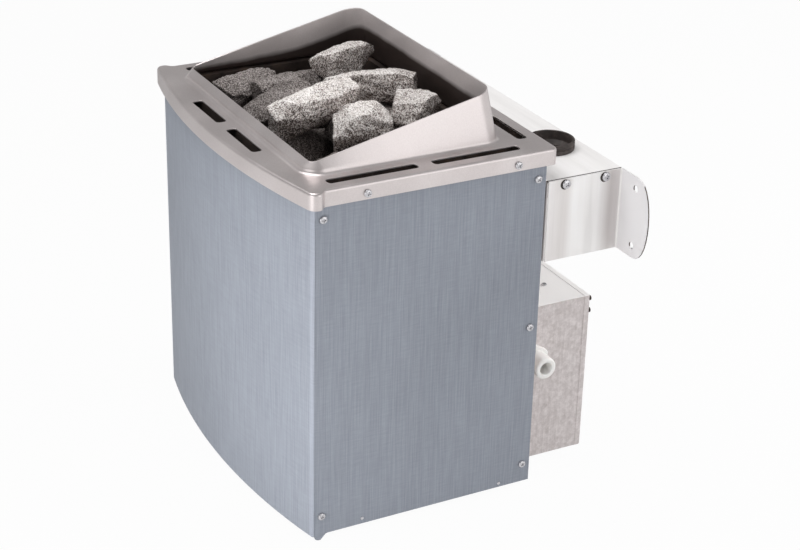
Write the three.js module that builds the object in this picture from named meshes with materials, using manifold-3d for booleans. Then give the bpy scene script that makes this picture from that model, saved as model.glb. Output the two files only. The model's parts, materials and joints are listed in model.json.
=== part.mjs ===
// Wall-hung sauna heater: a sheet-steel casing with a bowed front, a pressed rim with a raised sloping
// collar round the stone well, heating elements, a terminal box behind and a bracket for the wall.
// Millimetres, +Z up, front towards -Y, wall towards +Y. The pieces are placed in a build frame with
// Y = 0 at the fold between front and side panel and Z = 0 at the casing's lower edge; the outer group
// then moves that frame so that the origin lies under the middle of the whole heater.
import * as THREE from "three";
import { mergeVertices } from "three/addons/utils/BufferGeometryUtils.js";
import Module from "manifold-3d";

const wasm = await Module();
wasm.setup();

// Driving dimensions: casing
const bodyWidth = 400;
const bodyDepth = 270; // from the fold between front and side panel to the back
const bodyHeight = 385; // lower edge of the casing to the lower edge of the rim
const frontBow = 23; // how far the front panel bulges in the middle
const caseSheet = 1.2;
const caseFlange = 18; // width of the return flanges behind the side panels
const cornerTab = 5.5; // small nib under the front corner of each side panel
const cornerTabLength = 14;
const sideLift = 1.5; // the side panel ends a little above the front panel

// Driving dimensions: clearances
const seatGap = 0.3; // between pieces that touch
const holeGap = 0.3; // round a screw or tube in its hole
const wireGap = 0.8; // round a sleeved wire
const cutOver = 1; // how far a cut runs past the face that it opens

// Driving dimensions: rim and collar
const rimSheet = 1.5;
const rimSkirt = 18.5;
const rimEdge = 3.2; // rounding between skirt and flange
const rimFrontReach = 7.5; // skirt in front of the front panel
const rimSideReach = 2.3; // skirt beside the side panel
const rimCornerReach = 9; // skirt beside the side panel at the front corners
const rimCornerEnd = 13; // where the wider corner has run out into the straight skirt
const rimCornerRadius = 8;
const rimBackReach = 12; // skirt behind the casing
const collarSideInset = 34; // from the casing's side in to the collar's foot
const collarFront = 9.3; // from the fold to the collar's foot
const collarBackInset = 34.7; // from the casing's back in to the collar's foot
const collarLeanSide = 7;
const collarLeanFront = 7.4;
const collarLeanBack = 9;
const collarFrontHeight = 11.6;
const collarBackHeight = 58;
const collarCorner = 20;
const collarFoot = 5; // fillet where the collar rises from the flange
const samePlace = 0.02; // points of the collar's outline closer than this count as one
const ventWidth = 11.8;
const ventCorner = 4;
const frontVentLength = 70.5;
const frontVentPitch = 92.8;
const frontVentPlace = -7.7; // middle of the front vents from the fold
const sideVentLength = 102.5;
const sideVentPitch = 120;
const sideVentInset = 16.6; // from the casing's side in to the middle of a side vent
const sideVentForward = 2; // the side vents sit this far in front of the casing's middle
const backVentLength = 72;
const backVentPitch = 256;
const backVentInset = 8.5; // from the casing's back in to the middle of a back vent

// Driving dimensions: stone well, grate and heat shield
const wellInset = 5; // from the collar's foot in to the well's wall
const wellDrop = 103.5; // from the rim's flange down to the top of the grate
const wellSheet = 1;
const wellCorner = 14;
const wellFlange = 12;
const wellLip = 10.5; // ledge inside the lower edge that carries the grate
const grateBarWidth = 6;
const grateBarHeight = 9;
const grateBarPitch = 28;
const grateClear = 10; // from the elements in to the outermost bar
const grateTieHeight = 5;
const grateTieWidth = 8;
const grateTieSpan = 84;
const shieldGap = 3; // between the well's flange and the heat shield
const shieldSheet = 0.8;
const shieldCorner = 14;

// Driving dimensions: heating elements, their carrier and the base
const elementTube = 8;
const elementLegs = 36; // spacing of the two legs of a hairpin
const elementsPerSide = 3;
const elementEndInset = 15; // from the well's front and back wall to the row of elements
const elementLipGap = 1.5; // between an element and the edge of the well's ledge
const elementDrop = 19.5; // from the rim's flange down to the bends
const elementBottom = 52;
const railTop = 75;
const railHeight = 15;
const railWidth = 30;
const railSheet = 1.5;
const baseSheet = 1.2;
const baseLift = 3;
const baseFlange = 12;
const baseLedge = 26; // from the heat shield in to the base plate's opening
const baseCorner = 14;

// Driving dimensions: terminal box, block, wires and cable gland
const boxSideInset = 33; // from the casing's side in to the box's side
const boxWallGap = 7.1; // between the box and the wall
const boxBottom = 7.4;
const boxHeight = 193.2;
const boxSheet = 1;
const boxLip = 14;
const blockLength = 130;
const blockDepth = 24;
const blockHeight = 30;
const blockBottom = 92;
const blockPoles = 5;
const poleWidth = 16;
const poleDepth = 12;
const wireSleeve = 10;
const wireStub = 8; // straight run of a wire behind the box's front wall
const wireDepth = 16; // from the box's front wall to the wires beside the block
const wireBend = 12;
const glandHeight = 137;
const glandThread = 25;
const glandBore = 17;
const glandHex = 32;
const glandHexLength = 7;
const glandNeck = 21;
const glandNeckLength = 8;
const glandNutDiameter = 27.5;
const glandNutLength = 22;
const glandNutRounding = 3;
const glandInside = 10; // threaded end inside the box
const lockNutLength = 5;

// Driving dimensions: wall bracket
const bracketSheet = 2;
const bracketDrop = 19.3; // from the rim's lower edge down to the bracket's top
const wallGap = 96.7; // from the casing's back to the wall
const wingReach = 1; // outer face of the wing beyond the casing's side
const wingHeight = 93;
const wingInset = 3.6; // from the casing's back to the wing's front edge
const wingBend = 17;
const earReach = 55; // ear beyond the wing
const earCorner = 24;
const earHole = 8;
const earHoleReach = 28;
const earHoleInset = 13.5;
const plateSheet = 1.5;
const plateLip = 20;
const grommetSideInset = 82; // from the casing's right side in to the grommet
const grommetWallInset = 40; // from the wall to the grommet
const grommetDiameter = 53;
const grommetBore = 34;
const grommetHeight = 11;
const grommetNeck = 44;
const grommetFoot = 4;
const grommetRounding = 2;

// Driving dimensions: screws
const screwHead = 8.4;
const screwHeadHeight = 2.6;
const screwHeadRounding = 1.4;
const screwShank = 4;
const screwLength = 6;
const sideScrewInset = 10;
const sideScrewDrop = 14; // top screws under the rim
const sideScrewRise = 24.5;
const sideScrewMiddle = 197;
const rimScrewHeight = 7; // above the skirt's lower edge
const rimScrewFront = 58;
const rimScrewBackInset = 36.5;
const wingScrewDrop = 6;
const wingScrewInset = 25; // from the casing's back to the first screw
const wingScrewPitch = 50;

// Driving dimensions: stones
const stoneSize = 100; // a long stone; the stones' sizes are given as shares of it

// Places that follow from the driving dimensions
const halfWidth = bodyWidth / 2;
const frontRadius = (halfWidth ** 2 + frontBow ** 2) / (2 * frontBow);
const frontCentre = frontRadius - frontBow;
const rimTop = bodyHeight + rimSkirt;
const flangeSeat = rimTop - rimSheet - seatGap; // well and heat shield meet the rim's flange
const panelTop = rimTop - rimEdge; // the casing's panels end below the rim's rounded edge
const panelInside = halfWidth - caseSheet; // inner face of a side panel
const flangeOutside = panelInside - seatGap;
const flangeInside = flangeOutside - caseSheet;
const rearOutside = bodyDepth - seatGap;
const rearInside = rearOutside - caseSheet;
const collarHalf = halfWidth - collarSideInset;
const collarBack = bodyDepth - collarBackInset;
const collarTopFront = collarFront + collarLeanFront;
const collarTopBack = collarBack - collarLeanBack;
const wellHalf = collarHalf - wellInset;
const wellFront = collarFront + wellInset;
const wellBack = collarBack - wellInset;
const wellMiddle = (wellFront + wellBack) / 2;
const grateTop = rimTop - wellDrop;
const wellBottom = grateTop - grateBarHeight - seatGap - wellSheet;
const shieldOut = wellFlange + shieldGap + shieldSheet; // shield's outside beyond the well's wall
const shieldHalf = wellHalf + shieldOut;
const shieldFront = wellFront - shieldOut;
const shieldBack = wellBack + shieldOut;
const elementPlace = wellHalf - wellSheet - wellLip - elementLipGap - elementTube / 2;
const elementPitch = (wellBack - wellFront - 2 * elementEndInset) / elementsPerSide;
const elementTop = rimTop - elementDrop;
const baseTop = baseLift + baseSheet;
const boxFront = bodyDepth + seatGap;
const boxHalf = halfWidth - boxSideInset;
const boxTop = boxBottom + boxHeight;
const wallPlane = bodyDepth + wallGap;
const boxBack = wallPlane - boxWallGap;
const wireHeight = elementBottom - wireSleeve / 2 - seatGap;
const glandPlace = boxFront + boxSheet + seatGap + glandHex / 2;
const glandSeat = boxHalf + seatGap;
const bracketTop = bodyHeight - bracketDrop;
const wingOutside = halfWidth + wingReach;
const wingInside = wingOutside - bracketSheet;
const wingStart = bodyDepth + wingInset;
const wingBottom = bracketTop - wingHeight;
const plateHalf = wingInside - seatGap;
const grommetX = halfWidth - grommetSideInset;
const grommetY = wallPlane - grommetWallInset;
const lowestPoint = -cornerTab;
const frontmostPoint = -frontBow - rimFrontReach;

// Finishes
const finishes = {
  coatedSteel: { color: 0x9aa0ac, roughness: 0.5, metalness: 0.6 },
  satinSteel: { color: 0xc4bdba, roughness: 0.45, metalness: 0.9 },
  bracketSteel: { color: 0xd8d5d4, roughness: 0.35, metalness: 0.9 },
  galvanised: { color: 0xc8bebd, roughness: 0.5, metalness: 0.8 },
  scaledSteel: { color: 0x2f2926, roughness: 0.7, metalness: 0.5 },
  elementSteel: { color: 0x3d3430, roughness: 0.6, metalness: 0.7 },
  whitePlastic: { color: 0xf2efec, roughness: 0.4, metalness: 0 },
  ceramic: { color: 0xe6e0d6, roughness: 0.6, metalness: 0 },
  glassSleeve: { color: 0xcfc8b8, roughness: 0.9, metalness: 0 },
  darkRubber: { color: 0x3a3636, roughness: 0.8, metalness: 0 },
  zincScrew: { color: 0xd5d5d8, roughness: 0.3, metalness: 1 },
  stone: { color: 0x8a8684, roughness: 0.95, metalness: 0 },
};

const heater = new THREE.Group();

function addPiece(name, geometry, finish) {
  const mesh = new THREE.Mesh(geometry, new THREE.MeshStandardMaterial(finishes[finish]));
  mesh.name = name;
  heater.add(mesh);
  return mesh;
}

// Solids: joining and cutting
function solidOf(geometry) {
  const plain = geometry.clone();
  plain.deleteAttribute("normal");
  plain.deleteAttribute("uv");
  const merged = mergeVertices(plain, 1e-4);
  return new wasm.Manifold(
    new wasm.Mesh({
      numProp: 3,
      vertProperties: new Float32Array(merged.attributes.position.array),
      triVerts: new Uint32Array(merged.index.array),
    }),
  );
}

function geometryOf(solid) {
  const mesh = solid.getMesh();
  const geometry = new THREE.BufferGeometry();
  geometry.setAttribute("position", new THREE.BufferAttribute(mesh.vertProperties, 3));
  geometry.setIndex(new THREE.BufferAttribute(mesh.triVerts, 1));
  geometry.computeVertexNormals();
  return geometry;
}

function join(...pieces) {
  return geometryOf(pieces.map(solidOf).reduce((sum, next) => sum.add(next)));
}

function cut(piece, ...tools) {
  return geometryOf(tools.map(solidOf).reduce((rest, tool) => rest.subtract(tool), solidOf(piece)));
}

function overlap(piece, other) {
  return geometryOf(solidOf(piece).intersect(solidOf(other)));
}

// Shapes and simple solids
function boxBetween(x0, x1, y0, y1, z0, z1) {
  const box = new THREE.BoxGeometry(x1 - x0, y1 - y0, z1 - z0);
  return box.translate((x0 + x1) / 2, (y0 + y1) / 2, (z0 + z1) / 2);
}

function extrudeUp(shape, z0, z1, curveSegments = 3) {
  const settings = { depth: z1 - z0, bevelEnabled: false, curveSegments };
  return new THREE.ExtrudeGeometry(shape, settings).translate(0, 0, z0);
}

// A shape drawn in (Y, Z), extruded along X
function extrudeAcross(shape, x0, x1, curveSegments = 4) {
  const turn = new THREE.Matrix4().makeBasis(
    new THREE.Vector3(0, 1, 0),
    new THREE.Vector3(0, 0, 1),
    new THREE.Vector3(1, 0, 0),
  );
  return extrudeUp(shape, x0, x1, curveSegments).applyMatrix4(turn);
}

// A shape drawn in (X, Z), extruded along Y
function extrudeBack(shape, y0, y1, curveSegments = 4) {
  return extrudeUp(shape, -y1, -y0, curveSegments).rotateX(Math.PI / 2);
}

function roundedRectangle(x0, x1, y0, y1, radius) {
  const shape = new THREE.Shape();
  shape.moveTo(x0 + radius, y0);
  shape.absarc(x1 - radius, y0 + radius, radius, -Math.PI / 2, 0, false);
  shape.absarc(x1 - radius, y1 - radius, radius, 0, Math.PI / 2, false);
  shape.absarc(x0 + radius, y1 - radius, radius, Math.PI / 2, Math.PI, false);
  shape.absarc(x0 + radius, y0 + radius, radius, Math.PI, 1.5 * Math.PI, false);
  return shape;
}

function disc(x, y, radius) {
  const shape = new THREE.Shape();
  shape.absarc(x, y, radius, 0, 2 * Math.PI, false);
  return shape;
}

function polygon(points) {
  return new THREE.Shape(points.map(([x, y]) => new THREE.Vector2(x, y)));
}

// A profile of [radius, height] turned round the Z axis
function turned(profile, segments) {
  const points = profile.map(([radius, height]) => new THREE.Vector2(radius, height));
  return new THREE.LatheGeometry(points, segments).rotateX(Math.PI / 2);
}

// Straight holes for screws, tubes and wires, drawn round their diameter so that the flats clear it
function discRound(x, y, diameter, edges) {
  return disc(x, y, diameter / 2 / Math.cos(Math.PI / edges));
}

function holeAcross(x0, x1, y, z, diameter, edges = 8) {
  return extrudeAcross(discRound(y, z, diameter, edges), x0, x1, edges / 2);
}

function holeBack(y0, y1, x, z, diameter, edges = 8) {
  return extrudeBack(discRound(x, z, diameter, edges), y0, y1, edges / 2);
}

function holeUp(z0, z1, x, y, diameter, edges = 8) {
  return extrudeUp(discRound(x, y, diameter, edges), z0, z1, edges / 2);
}

const left = { name: "left", side: -1 };
const right = { name: "right", side: 1 };
const sides = [left, right];

// Places of the screws in a side panel, as (Y, Z)
const sideScrews = {
  top_front: [sideScrewInset, bodyHeight - sideScrewDrop],
  bottom_front: [sideScrewInset, sideScrewRise],
  top_back: [bodyDepth - sideScrewInset, bodyHeight - sideScrewDrop],
  middle_back: [bodyDepth - sideScrewInset, sideScrewMiddle],
  bottom_back: [bodyDepth - sideScrewInset, sideScrewRise],
};
const rimScrews = {
  front: [rimScrewFront, bodyHeight + rimScrewHeight],
  back: [bodyDepth - rimScrewBackInset, bodyHeight + rimScrewHeight],
};
const wingScrews = {
  front: [bodyDepth + wingScrewInset, bracketTop - wingScrewDrop],
  back: [bodyDepth + wingScrewInset + wingScrewPitch, bracketTop - wingScrewDrop],
};
const screwHole = screwShank + 2 * holeGap;

function screwHolesAcross(places) {
  const reach = halfWidth + rimCornerReach;
  return Object.values(places).map(([y, z]) => holeAcross(-reach, reach, y, z, screwHole));
}

// Casing: bowed front panel with a flange behind each side panel
function arcPlace(x, radius) {
  return frontCentre - Math.sqrt(radius ** 2 - x ** 2);
}

function addFrontArc(shape, radius, reach, towardsRight) {
  const swing = Math.asin(reach / radius);
  const start = -Math.PI / 2 + (towardsRight ? -swing : swing);
  const end = -Math.PI / 2 + (towardsRight ? swing : -swing);
  shape.absarc(0, frontCentre, radius, start, end, !towardsRight);
}

function frontPanel() {
  const innerRadius = frontRadius - caseSheet;
  const shape = new THREE.Shape();
  addFrontArc(shape, frontRadius, halfWidth, true);
  shape.lineTo(halfWidth, caseSheet);
  shape.lineTo(flangeOutside, caseSheet);
  shape.lineTo(flangeOutside, caseFlange);
  shape.lineTo(flangeInside, caseFlange);
  addFrontArc(shape, innerRadius, flangeInside, false);
  shape.lineTo(-flangeInside, caseFlange);
  shape.lineTo(-flangeOutside, caseFlange);
  shape.lineTo(-flangeOutside, caseSheet);
  shape.lineTo(-halfWidth, caseSheet);
  const panel = extrudeUp(shape, 0, panelTop, 12);
  return cut(panel, ...screwHolesAcross({ a: sideScrews.top_front, b: sideScrews.bottom_front }));
}

addPiece("front_panel", frontPanel(), "coatedSteel");

function sidePanel(side) {
  const start = caseSheet + seatGap;
  const tabMiddle = start + cornerTabLength / 2;
  const shape = new THREE.Shape();
  shape.moveTo(start, panelTop);
  shape.lineTo(start, 0);
  shape.quadraticCurveTo(start, -cornerTab, tabMiddle, -cornerTab);
  shape.lineTo(start + cornerTabLength, sideLift);
  shape.lineTo(bodyDepth, sideLift);
  shape.lineTo(bodyDepth, panelTop);
  const edges = [side * panelInside, side * halfWidth].sort((a, b) => a - b);
  const panel = extrudeAcross(shape, ...edges);
  return cut(panel, ...screwHolesAcross({ ...sideScrews, ...rimScrewPlaces() }));
}

function rimScrewPlaces() {
  return { rim_front: rimScrews.front, rim_back: rimScrews.back };
}

for (const { name, side } of sides) addPiece(`side_panel_${name}`, sidePanel(side), "coatedSteel");

// Rear panel with flanges behind the side panels and two wire holes into the terminal box
function rearPanel() {
  const flangeStart = rearOutside - caseFlange;
  const shape = polygon([
    [-flangeOutside, flangeStart],
    [-flangeInside, flangeStart],
    [-flangeInside, rearInside],
    [flangeInside, rearInside],
    [flangeInside, flangeStart],
    [flangeOutside, flangeStart],
    [flangeOutside, rearOutside],
    [-flangeOutside, rearOutside],
  ]);
  const panel = extrudeUp(shape, sideLift, panelTop);
  const places = { a: sideScrews.top_back, b: sideScrews.middle_back, c: sideScrews.bottom_back };
  return cut(panel, ...screwHolesAcross(places), ...wireHoles(rearInside - cutOver, rearOutside + cutOver));
}

function wireHoles(y0, y1) {
  return sides.map(({ side }) =>
    holeBack(y0, y1, side * elementPlace, wireHeight, wireSleeve + 2 * wireGap),
  );
}

addPiece("rear_panel", rearPanel(), "galvanised");

// Base plate: an open frame that lets the air in, with a flange up along each side
function basePlate() {
  const half = flangeInside - seatGap;
  const back = rearInside - seatGap;
  const shape = new THREE.Shape();
  addFrontArc(shape, frontRadius - caseSheet - seatGap, half, true);
  shape.lineTo(half, back);
  shape.lineTo(-half, back);
  const opening = roundedRectangle(
    -shieldHalf + baseLedge,
    shieldHalf - baseLedge,
    shieldFront + baseLedge,
    shieldBack - baseLedge,
    baseCorner,
  );
  const sheet = cut(
    extrudeUp(shape, baseLift, baseTop, 8),
    extrudeUp(opening, baseLift - cutOver, baseTop + cutOver),
  );
  const flanges = sides.map(({ side }) => {
    const edges = [side * half, side * (half - baseSheet)].sort((a, b) => a - b);
    return boxBetween(...edges, caseFlange + seatGap, back, baseLift, baseLift + baseFlange);
  });
  return join(sheet, ...flanges);
}

addPiece("base_plate", basePlate(), "galvanised");

// Rim: flange with a skirt all round, vents, and the raised collar round the stone well
function rimOutline(inset) {
  const side = halfWidth + rimSideReach - inset;
  const corner = halfWidth + rimCornerReach - inset;
  const back = bodyDepth + rimBackReach - inset;
  const radius = frontRadius + rimFrontReach - inset;
  const arcEnd = corner - rimCornerRadius + inset;
  const cornerFront = arcPlace(corner, radius);
  const bendStart = cornerFront + rimCornerRadius - inset;
  const bendMiddle = (bendStart + rimCornerEnd) / 2;
  const shape = new THREE.Shape();
  addFrontArc(shape, radius, arcEnd, true);
  shape.quadraticCurveTo(corner, cornerFront, corner, bendStart);
  shape.bezierCurveTo(corner, bendMiddle, side, bendMiddle, side, rimCornerEnd);
  shape.lineTo(side, back);
  shape.lineTo(-side, back);
  shape.lineTo(-side, rimCornerEnd);
  shape.bezierCurveTo(-side, bendMiddle, -corner, bendMiddle, -corner, bendStart);
  shape.quadraticCurveTo(-corner, cornerFront, -arcEnd, arcPlace(arcEnd, radius));
  return shape;
}

// A solid through loops of equal count, closed at both ends by a fan round its middle
function solidThrough(loops, middleX, middleY) {
  const count = loops[0].length;
  const bottom = loops[0];
  const top = loops[loops.length - 1];
  const bottomMiddle = new THREE.Vector3(middleX, middleY, bottom[0].z);
  const topMiddle = new THREE.Vector3(middleX, middleY, top[0].z);
  const corners = [];
  for (let i = 0; i < count; i++) {
    const j = (i + 1) % count;
    corners.push(bottomMiddle, bottom[j], bottom[i]);
    corners.push(topMiddle, top[i], top[j]);
    for (let row = 0; row + 1 < loops.length; row++) {
      const low = loops[row];
      const high = loops[row + 1];
      corners.push(low[i], low[j], high[j], low[i], high[j], high[i]);
    }
  }
  return new THREE.BufferGeometry().setFromPoints(corners);
}

// A block with the rim's outline and a rounded upper edge
function rimBlock(inset, z0, z1) {
  const rounding = rimEdge - inset;
  const loop = (turn, height) => {
    const outline = rimOutline(inset + rounding * (1 - Math.cos(turn)));
    const points = outline.getPoints(9).slice(0, -1);
    return points.map((point) => new THREE.Vector3(point.x, point.y, height));
  };
  const loops = [loop(0, z0)];
  for (const share of [0, 1 / 3, 2 / 3, 1]) {
    const turn = (share * Math.PI) / 2;
    loops.push(loop(turn, z1 - rounding * (1 - Math.sin(turn))));
  }
  return solidThrough(loops, 0, bodyDepth / 2);
}

// One loop of points round a rounded rectangle, the same number on every loop
function collarLoop(x, y0, y1, radius, height) {
  const outline = roundedRectangle(-x, x, y0, y1, radius).getPoints(4).slice(0, -1);
  const points = [];
  for (const point of outline) {
    const last = points[points.length - 1];
    if (!last || point.distanceTo(last) > samePlace) points.push(point);
  }
  return points.map((point) => new THREE.Vector3(point.x, point.y, height(point.y)));
}

// A closed skin through loops of equal count, from the first loop round to the first again
function ringThrough(loops) {
  const count = loops[0].length;
  const corners = [];
  loops.forEach((loop, row) => {
    const next = loops[(row + 1) % loops.length];
    for (let i = 0; i < count; i++) {
      const j = (i + 1) % count;
      corners.push(loop[i], loop[j], next[j], loop[i], next[j], next[i]);
    }
  });
  return new THREE.BufferGeometry().setFromPoints(corners);
}

function collarTopHeight(y) {
  const slope = (collarBackHeight - collarFrontHeight) / (collarTopBack - collarTopFront);
  return rimTop + collarFrontHeight + slope * (y - collarTopFront);
}

function collarRing() {
  const foot = (out, up) =>
    collarLoop(
      collarHalf + out,
      collarFront - out,
      collarBack + out,
      collarCorner + out,
      () => rimTop + up,
    );
  const rim = (inwards) =>
    collarLoop(
      collarHalf - collarLeanSide - inwards,
      collarTopFront + inwards,
      collarTopBack - inwards,
      collarCorner - inwards,
      collarTopHeight,
    );
  const bend = collarFoot * (1 - Math.SQRT1_2);
  return ringThrough([
    foot(-rimSheet, -rimSheet),
    foot(collarFoot, -rimSheet),
    foot(collarFoot, 0),
    foot(bend, bend),
    foot(0, collarFoot),
    rim(0),
    rim(rimSheet),
  ]);
}

function ventSlots() {
  const halfVent = ventWidth / 2;
  const slot = (x, y, halfX, halfY) => {
    const shape = roundedRectangle(x - halfX, x + halfX, y - halfY, y + halfY, ventCorner);
    return extrudeUp(shape, bodyHeight, rimTop + cutOver, 2);
  };
  const sideMiddle = bodyDepth / 2 - sideVentForward;
  const vents = [];
  for (const along of [-0.5, 0.5]) {
    vents.push(slot(along * frontVentPitch, frontVentPlace, frontVentLength / 2, halfVent));
    vents.push(slot(along * backVentPitch, bodyDepth - backVentInset, backVentLength / 2, halfVent));
    for (const { side } of sides) {
      const x = side * (halfWidth - sideVentInset);
      vents.push(slot(x, sideMiddle + along * sideVentPitch, halfVent, sideVentLength / 2));
    }
  }
  return vents;
}

function topRim() {
  const cap = cut(
    rimBlock(0, bodyHeight, rimTop),
    rimBlock(rimSheet, bodyHeight - rimSkirt, rimTop - rimSheet),
    extrudeUp(
      roundedRectangle(
        -collarHalf + rimSheet,
        collarHalf - rimSheet,
        collarFront + rimSheet,
        collarBack - rimSheet,
        collarCorner - rimSheet,
      ),
      bodyHeight,
      rimTop + cutOver,
    ),
  );
  return cut(join(cap, collarRing()), ...ventSlots(), ...screwHolesAcross(rimScrews));
}

const rimPiece = addPiece("top_rim", topRim(), "satinSteel");

// Stone well: open sheet box hung under the flange, with a lip inside its lower edge for the grate
function wellOutline(out) {
  return roundedRectangle(
    -wellHalf - out,
    wellHalf + out,
    wellFront - out,
    wellBack + out,
    wellCorner + out,
  );
}

function stoneWell() {
  const inside = extrudeUp(wellOutline(-wellSheet), wellBottom + wellSheet, rimTop);
  const lipOpening = extrudeUp(wellOutline(-wellSheet - wellLip), wellBottom - cutOver, rimTop);
  const walls = extrudeUp(wellOutline(0), wellBottom, flangeSeat);
  const flange = extrudeUp(wellOutline(wellFlange), flangeSeat - wellSheet, flangeSeat);
  return cut(join(walls, flange), inside, lipOpening);
}

const stoneWellPiece = addPiece("stone_well", stoneWell(), "scaledSteel");

// Heat shield: open sheet tube between well and casing, standing on the base plate
function shieldOutline(out) {
  return roundedRectangle(
    -shieldHalf - out,
    shieldHalf + out,
    shieldFront - out,
    shieldBack + out,
    shieldCorner + out,
  );
}

function heatShield() {
  const bottom = baseTop + seatGap;
  const walls = extrudeUp(shieldOutline(0), bottom, flangeSeat);
  const inside = extrudeUp(shieldOutline(-shieldSheet), bottom - cutOver, flangeSeat + cutOver);
  return cut(walls, inside, ...wireHoles(shieldBack - shieldSheet - cutOver, shieldBack + cutOver));
}

addPiece("heat_shield", heatShield(), "galvanised");

// Stone grate: bars that rest on the well's lip, tied by two cross bars
function stoneGrate() {
  const barStart = wellFront + wellSheet + seatGap;
  const barEnd = wellBack - wellSheet - seatGap;
  const bottom = grateTop - grateBarHeight;
  const room = 2 * (elementPlace - elementTube / 2 - grateClear) - grateBarWidth;
  const barCount = Math.floor(room / grateBarPitch) + 1;
  const span = (barCount - 1) * grateBarPitch;
  const bars = [];
  for (let i = 0; i < barCount; i++) {
    const x = -span / 2 + i * grateBarPitch;
    const half = grateBarWidth / 2;
    bars.push(boxBetween(x - half, x + half, barStart, barEnd, bottom, grateTop));
  }
  const middle = (barStart + barEnd) / 2;
  for (const end of [-0.5, 0.5]) {
    const y = middle + end * grateTieSpan;
    const half = grateTieWidth / 2;
    bars.push(boxBetween(-span / 2, span / 2, y - half, y + half, bottom, bottom + grateTieHeight));
  }
  return join(...bars);
}

const gratePiece = addPiece("stone_grate", stoneGrate(), "scaledSteel");

// Heating elements: upright hairpins along both side walls of the well, held in a rail below
class HairpinPath extends THREE.Curve {
  constructor(x, y) {
    super();
    this.x = x;
    this.y = y;
    this.bendSteps = 10;
    this.steps = this.bendSteps + 2;
  }

  getPoint(t) {
    const radius = elementLegs / 2;
    const bendHeight = elementTop - elementTube / 2 - radius;
    const step = t * this.steps;
    const along = THREE.MathUtils.clamp(step - 1, 0, this.bendSteps);
    const angle = Math.PI * (1 - along / this.bendSteps);
    const leg = Math.max(1 - step, step - this.bendSteps - 1, 0);
    const drop = leg * (bendHeight - elementBottom);
    const y = this.y + radius * Math.cos(angle);
    return new THREE.Vector3(this.x, y, bendHeight + radius * Math.sin(angle) - drop);
  }

  getPointAt(u) {
    return this.getPoint(u);
  }

  getTangentAt(u) {
    return this.getTangent(u);
  }
}

function tubeAlong(path, diameter, steps, edges) {
  const section = new THREE.Shape();
  for (let i = 0; i < edges; i++) {
    const angle = (2 * Math.PI * i) / edges;
    const x = (diameter / 2) * Math.cos(angle);
    const y = (diameter / 2) * Math.sin(angle);
    if (i === 0) section.moveTo(x, y);
    else section.lineTo(x, y);
  }
  return new THREE.ExtrudeGeometry(section, { steps, extrudePath: path, bevelEnabled: false });
}

const elementPieces = [];
const elementRows = [];
for (let i = 0; i < elementsPerSide; i++) {
  elementRows.push(wellMiddle + (i - (elementsPerSide - 1) / 2) * elementPitch);
}
for (const { name, side } of sides) {
  elementRows.forEach((y, i) => {
    const path = new HairpinPath(side * elementPlace, y);
    const tube = tubeAlong(path, elementTube, path.steps, 8);
    elementPieces.push(addPiece(`heating_element_${name}_${i + 1}`, tube, "elementSteel"));
  });
}

function elementRail(side) {
  const half = railWidth / 2;
  const x = side * elementPlace;
  const y0 = shieldFront + shieldSheet + seatGap;
  const y1 = shieldBack - shieldSheet - seatGap;
  const channel = cut(
    boxBetween(x - half, x + half, y0, y1, railTop - railHeight, railTop),
    boxBetween(
      x - half + railSheet,
      x + half - railSheet,
      y0 - cutOver,
      y1 + cutOver,
      railTop - railHeight - cutOver,
      railTop - railSheet,
    ),
  );
  const holes = elementRows.flatMap((y) =>
    [-0.5, 0.5].map((leg) =>
      holeUp(railTop - railHeight, railTop + cutOver, x, y + leg * elementLegs, elementTube + 2 * holeGap),
    ),
  );
  return cut(channel, ...holes);
}

// Both rails are joined by a cross strip
function elementCarrier() {
  const half = railWidth / 2;
  const reach = elementPlace - half + railSheet;
  const strip = boxBetween(
    -reach,
    reach,
    wellMiddle - half,
    wellMiddle + half,
    railTop - railSheet,
    railTop,
  );
  return join(strip, ...sides.map(({ side }) => elementRail(side)));
}

addPiece("element_carrier", elementCarrier(), "galvanised");

// Terminal box: open at the back, with a lipped cover and the terminal block on its front wall
function terminalBox() {
  const back = boxBack - boxSheet - seatGap;
  const shell = cut(
    boxBetween(-boxHalf, boxHalf, boxFront, back, boxBottom, boxTop),
    boxBetween(
      -boxHalf + boxSheet,
      boxHalf - boxSheet,
      boxFront + boxSheet,
      back + cutOver,
      boxBottom + boxSheet,
      boxTop - boxSheet,
    ),
  );
  const glandHole = holeAcross(
    boxHalf - boxSheet - cutOver,
    boxHalf + cutOver,
    glandPlace,
    glandHeight,
    glandThread + 2 * holeGap,
    16,
  );
  return cut(shell, glandHole, ...wireHoles(boxFront - cutOver, boxFront + boxSheet + cutOver));
}

addPiece("terminal_box", terminalBox(), "galvanised");

function terminalBoxCover() {
  const half = boxHalf + seatGap;
  const bottom = boxBottom - seatGap;
  const top = boxTop + seatGap;
  return cut(
    boxBetween(
      -half - boxSheet,
      half + boxSheet,
      boxBack - boxLip,
      boxBack,
      bottom - boxSheet,
      top + boxSheet,
    ),
    boxBetween(-half, half, boxBack - boxLip - cutOver, boxBack - boxSheet, bottom, top),
  );
}

addPiece("terminal_box_cover", terminalBoxCover(), "galvanised");

function terminalBlock() {
  const y0 = boxFront + boxSheet + seatGap;
  const y1 = y0 + blockDepth;
  const top = blockBottom + blockHeight;
  const pitch = blockLength / blockPoles;
  const pockets = [];
  for (let i = 0; i < blockPoles; i++) {
    const x = -blockLength / 2 + (i + 0.5) * pitch;
    const half = poleWidth / 2;
    const wall = (blockHeight - poleWidth) / 2;
    const pocketEnd = y1 + cutOver;
    pockets.push(boxBetween(x - half, x + half, y1 - poleDepth, pocketEnd, blockBottom + wall, top - wall));
  }
  return cut(boxBetween(-blockLength / 2, blockLength / 2, y0, y1, blockBottom, top), ...pockets);
}

addPiece("terminal_block", terminalBlock(), "ceramic");

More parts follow.
